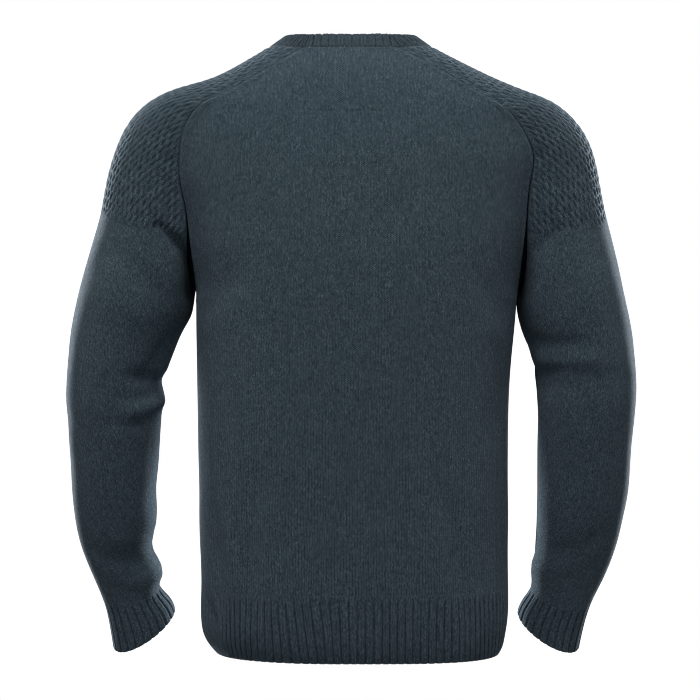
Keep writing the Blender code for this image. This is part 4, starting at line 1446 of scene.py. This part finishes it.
    rough = (fibre * 0.12 + 0.86)
    tree.links.new(rough.socket, shader.inputs["Roughness"])
    shader.inputs["Metallic"].default_value = 0.0
    shader.inputs["Specular IOR Level"].default_value = 0.18
    shader.inputs["Sheen Weight"].default_value = 0.11
    shader.inputs["Sheen Roughness"].default_value = 0.42
    shader.inputs["Sheen Tint"].default_value = (0.66, 0.82, 1.0, 1.0)
    return m


PLAIN_COLOUR = (0.0400, 0.0620, 0.0780)
RIB_COLOUR = (0.0415, 0.0640, 0.0805)

plain = wool("heather_knit", "plain", PLAIN_COLOUR)
wrong = wool("heather_knit_wrong_side", "wrong", PLAIN_COLOUR, relief=0.0007)
ribbed = wool("ribbed_knit", "plain", RIB_COLOUR, relief=0.0006, shade=0.3, lines=0.2)

back = panel("back_knit", True, [plain, wrong])
front = panel("front_knit", False, [plain, wrong])
sleeve_left = sleeve_piece("left", [plain, wrong])
sleeve_right = sleeve_piece("right", [plain, wrong])
hem_back = welt("hem_back_rib", True, [ribbed])
hem_front = welt("hem_front_rib", False, [ribbed])
cuff_left = cuff("left", [ribbed])
cuff_right = cuff("right", [ribbed])
neckband = band([ribbed])

for piece, nodes, slot in (
    (back, ("back",), "heather_knit"),
    (front, ("front",), "heather_knit"),
    (sleeve_left, ("yoke_left", "sleeve_left"), "heather_knit"),
    (sleeve_right, ("yoke_right", "sleeve_right"), "heather_knit"),
    (hem_back, ("hem_back",), "ribbed_knit"),
    (hem_front, ("hem_front",), "ribbed_knit"),
    (cuff_left, ("cuff_left",), "ribbed_knit"),
    (cuff_right, ("cuff_right",), "ribbed_knit"),
    (neckband, ("neckband",), "ribbed_knit"),
):
    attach(piece, "root")
    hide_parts(*nodes)


# ---- floor, light and camera ----
def floor_finish():
    """A pale matt floor that fades out towards its edge."""
    m = bpy.data.materials.new("pale_floor")
    m.use_nodes = True
    tree = m.node_tree
    shader = tree.nodes["Principled BSDF"]
    shader.inputs["Base Color"].default_value = (0.86, 0.865, 0.87, 1)
    shader.inputs["Roughness"].default_value = 0.9
    where = tree.nodes.new("ShaderNodeTexCoord")
    away = tree.nodes.new("ShaderNodeVectorMath")
    away.operation = "LENGTH"
    fade = tree.nodes.new("ShaderNodeMapRange")
    fade.interpolation_type = "SMOOTHSTEP"
    fade.inputs["From Min"].default_value = 0.7
    fade.inputs["From Max"].default_value = 1.85
    clear = tree.nodes.new("ShaderNodeBsdfTransparent")
    both = tree.nodes.new("ShaderNodeMixShader")
    tree.links.new(where.outputs["Object"], away.inputs[0])
    tree.links.new(away.outputs["Value"], fade.inputs["Value"])
    tree.links.new(fade.outputs["Result"], both.inputs[0])
    tree.links.new(shader.outputs[0], both.inputs[1])
    tree.links.new(clear.outputs[0], both.inputs[2])
    tree.links.new(both.outputs[0], tree.nodes["Material Output"].inputs["Surface"])
    return m


floor_mesh = bpy.data.meshes.new("floor")
bm = bmesh.new()
bmesh.ops.create_circle(bm, cap_ends=True, segments=96, radius=1.9)
bm.to_mesh(floor_mesh)
bm.free()
floor = bpy.data.objects.new("floor", floor_mesh)
floor.location = (0, 0, -1.45)
floor.visible_diffuse = False
floor_mesh.materials.append(floor_finish())
bpy.context.scene.collection.objects.link(floor)

world = bpy.data.worlds.new("studio")
world.use_nodes = True
tree = world.node_tree
background = tree.nodes["Background"]
seen = tree.nodes.new("ShaderNodeBackground")
background.inputs["Color"].default_value = (0.93, 0.965, 1.0, 1)
background.inputs["Strength"].default_value = 0.22
seen.inputs["Color"].default_value = (1, 1, 1, 1)
seen.inputs["Strength"].default_value = 1.0
path = tree.nodes.new("ShaderNodeLightPath")
both = tree.nodes.new("ShaderNodeMixShader")
tree.links.new(path.outputs["Is Camera Ray"], both.inputs[0])
tree.links.new(background.outputs[0], both.inputs[1])
tree.links.new(seen.outputs[0], both.inputs[2])
tree.links.new(both.outputs[0], tree.nodes["World Output"].inputs["Surface"])
bpy.context.scene.world = world


def softbox(name, place, target, size, power, colour=(1, 1, 1), spread=180):
    data = bpy.data.lights.new(name, "AREA")
    data.shape = "RECTANGLE"
    data.size, data.size_y = size
    data.energy = power
    data.color = colour
    data.spread = math.radians(spread)
    light = bpy.data.objects.new(name, data)
    light.location = place
    way = np.array(target, float) - np.array(place, float)
    light.rotation_euler = Vector(way).to_track_quat("-Z", "Y").to_euler()
    bpy.context.scene.collection.objects.link(light)
    return light


softbox("key", (0.25, 1.7, 2.3), (0, 0, 0.85), (2.4, 1.4), 44, spread=104)
softbox("left_strip", (1.65, -2.0, 0.1), (0.1, 0, -0.3), (0.5, 2.2), 215, (0.86, 0.93, 1))
softbox("right_strip", (-1.65, -2.0, 0.1), (-0.1, 0, -0.3), (0.5, 2.2), 215, (0.86, 0.93, 1))
softbox("front_fill", (0.2, -2.8, 1.6), (0, 0, -0.3), (2.4, 1.8), 30)
softbox("top", (0, 0.2, 2.4), (0, 0, 0), (2.0, 2.0), 5)

camera_data = bpy.data.cameras.new("camera")
camera_data.sensor_width = 36
camera_data.lens = 110.2
camera_data.clip_end = 100
camera = bpy.data.objects.new("camera", camera_data)
camera.location = (0.0022, 2.4, -0.330)
camera.rotation_euler = (math.radians(90), 0, math.radians(180))
bpy.context.scene.collection.objects.link(camera)
bpy.context.scene.camera = camera

bpy.context.scene.cycles.filter_width = 0.9
view = bpy.context.scene.view_settings
view.view_transform = "Standard"
view.look = "None"
view.exposure = 0
view.gamma = 1
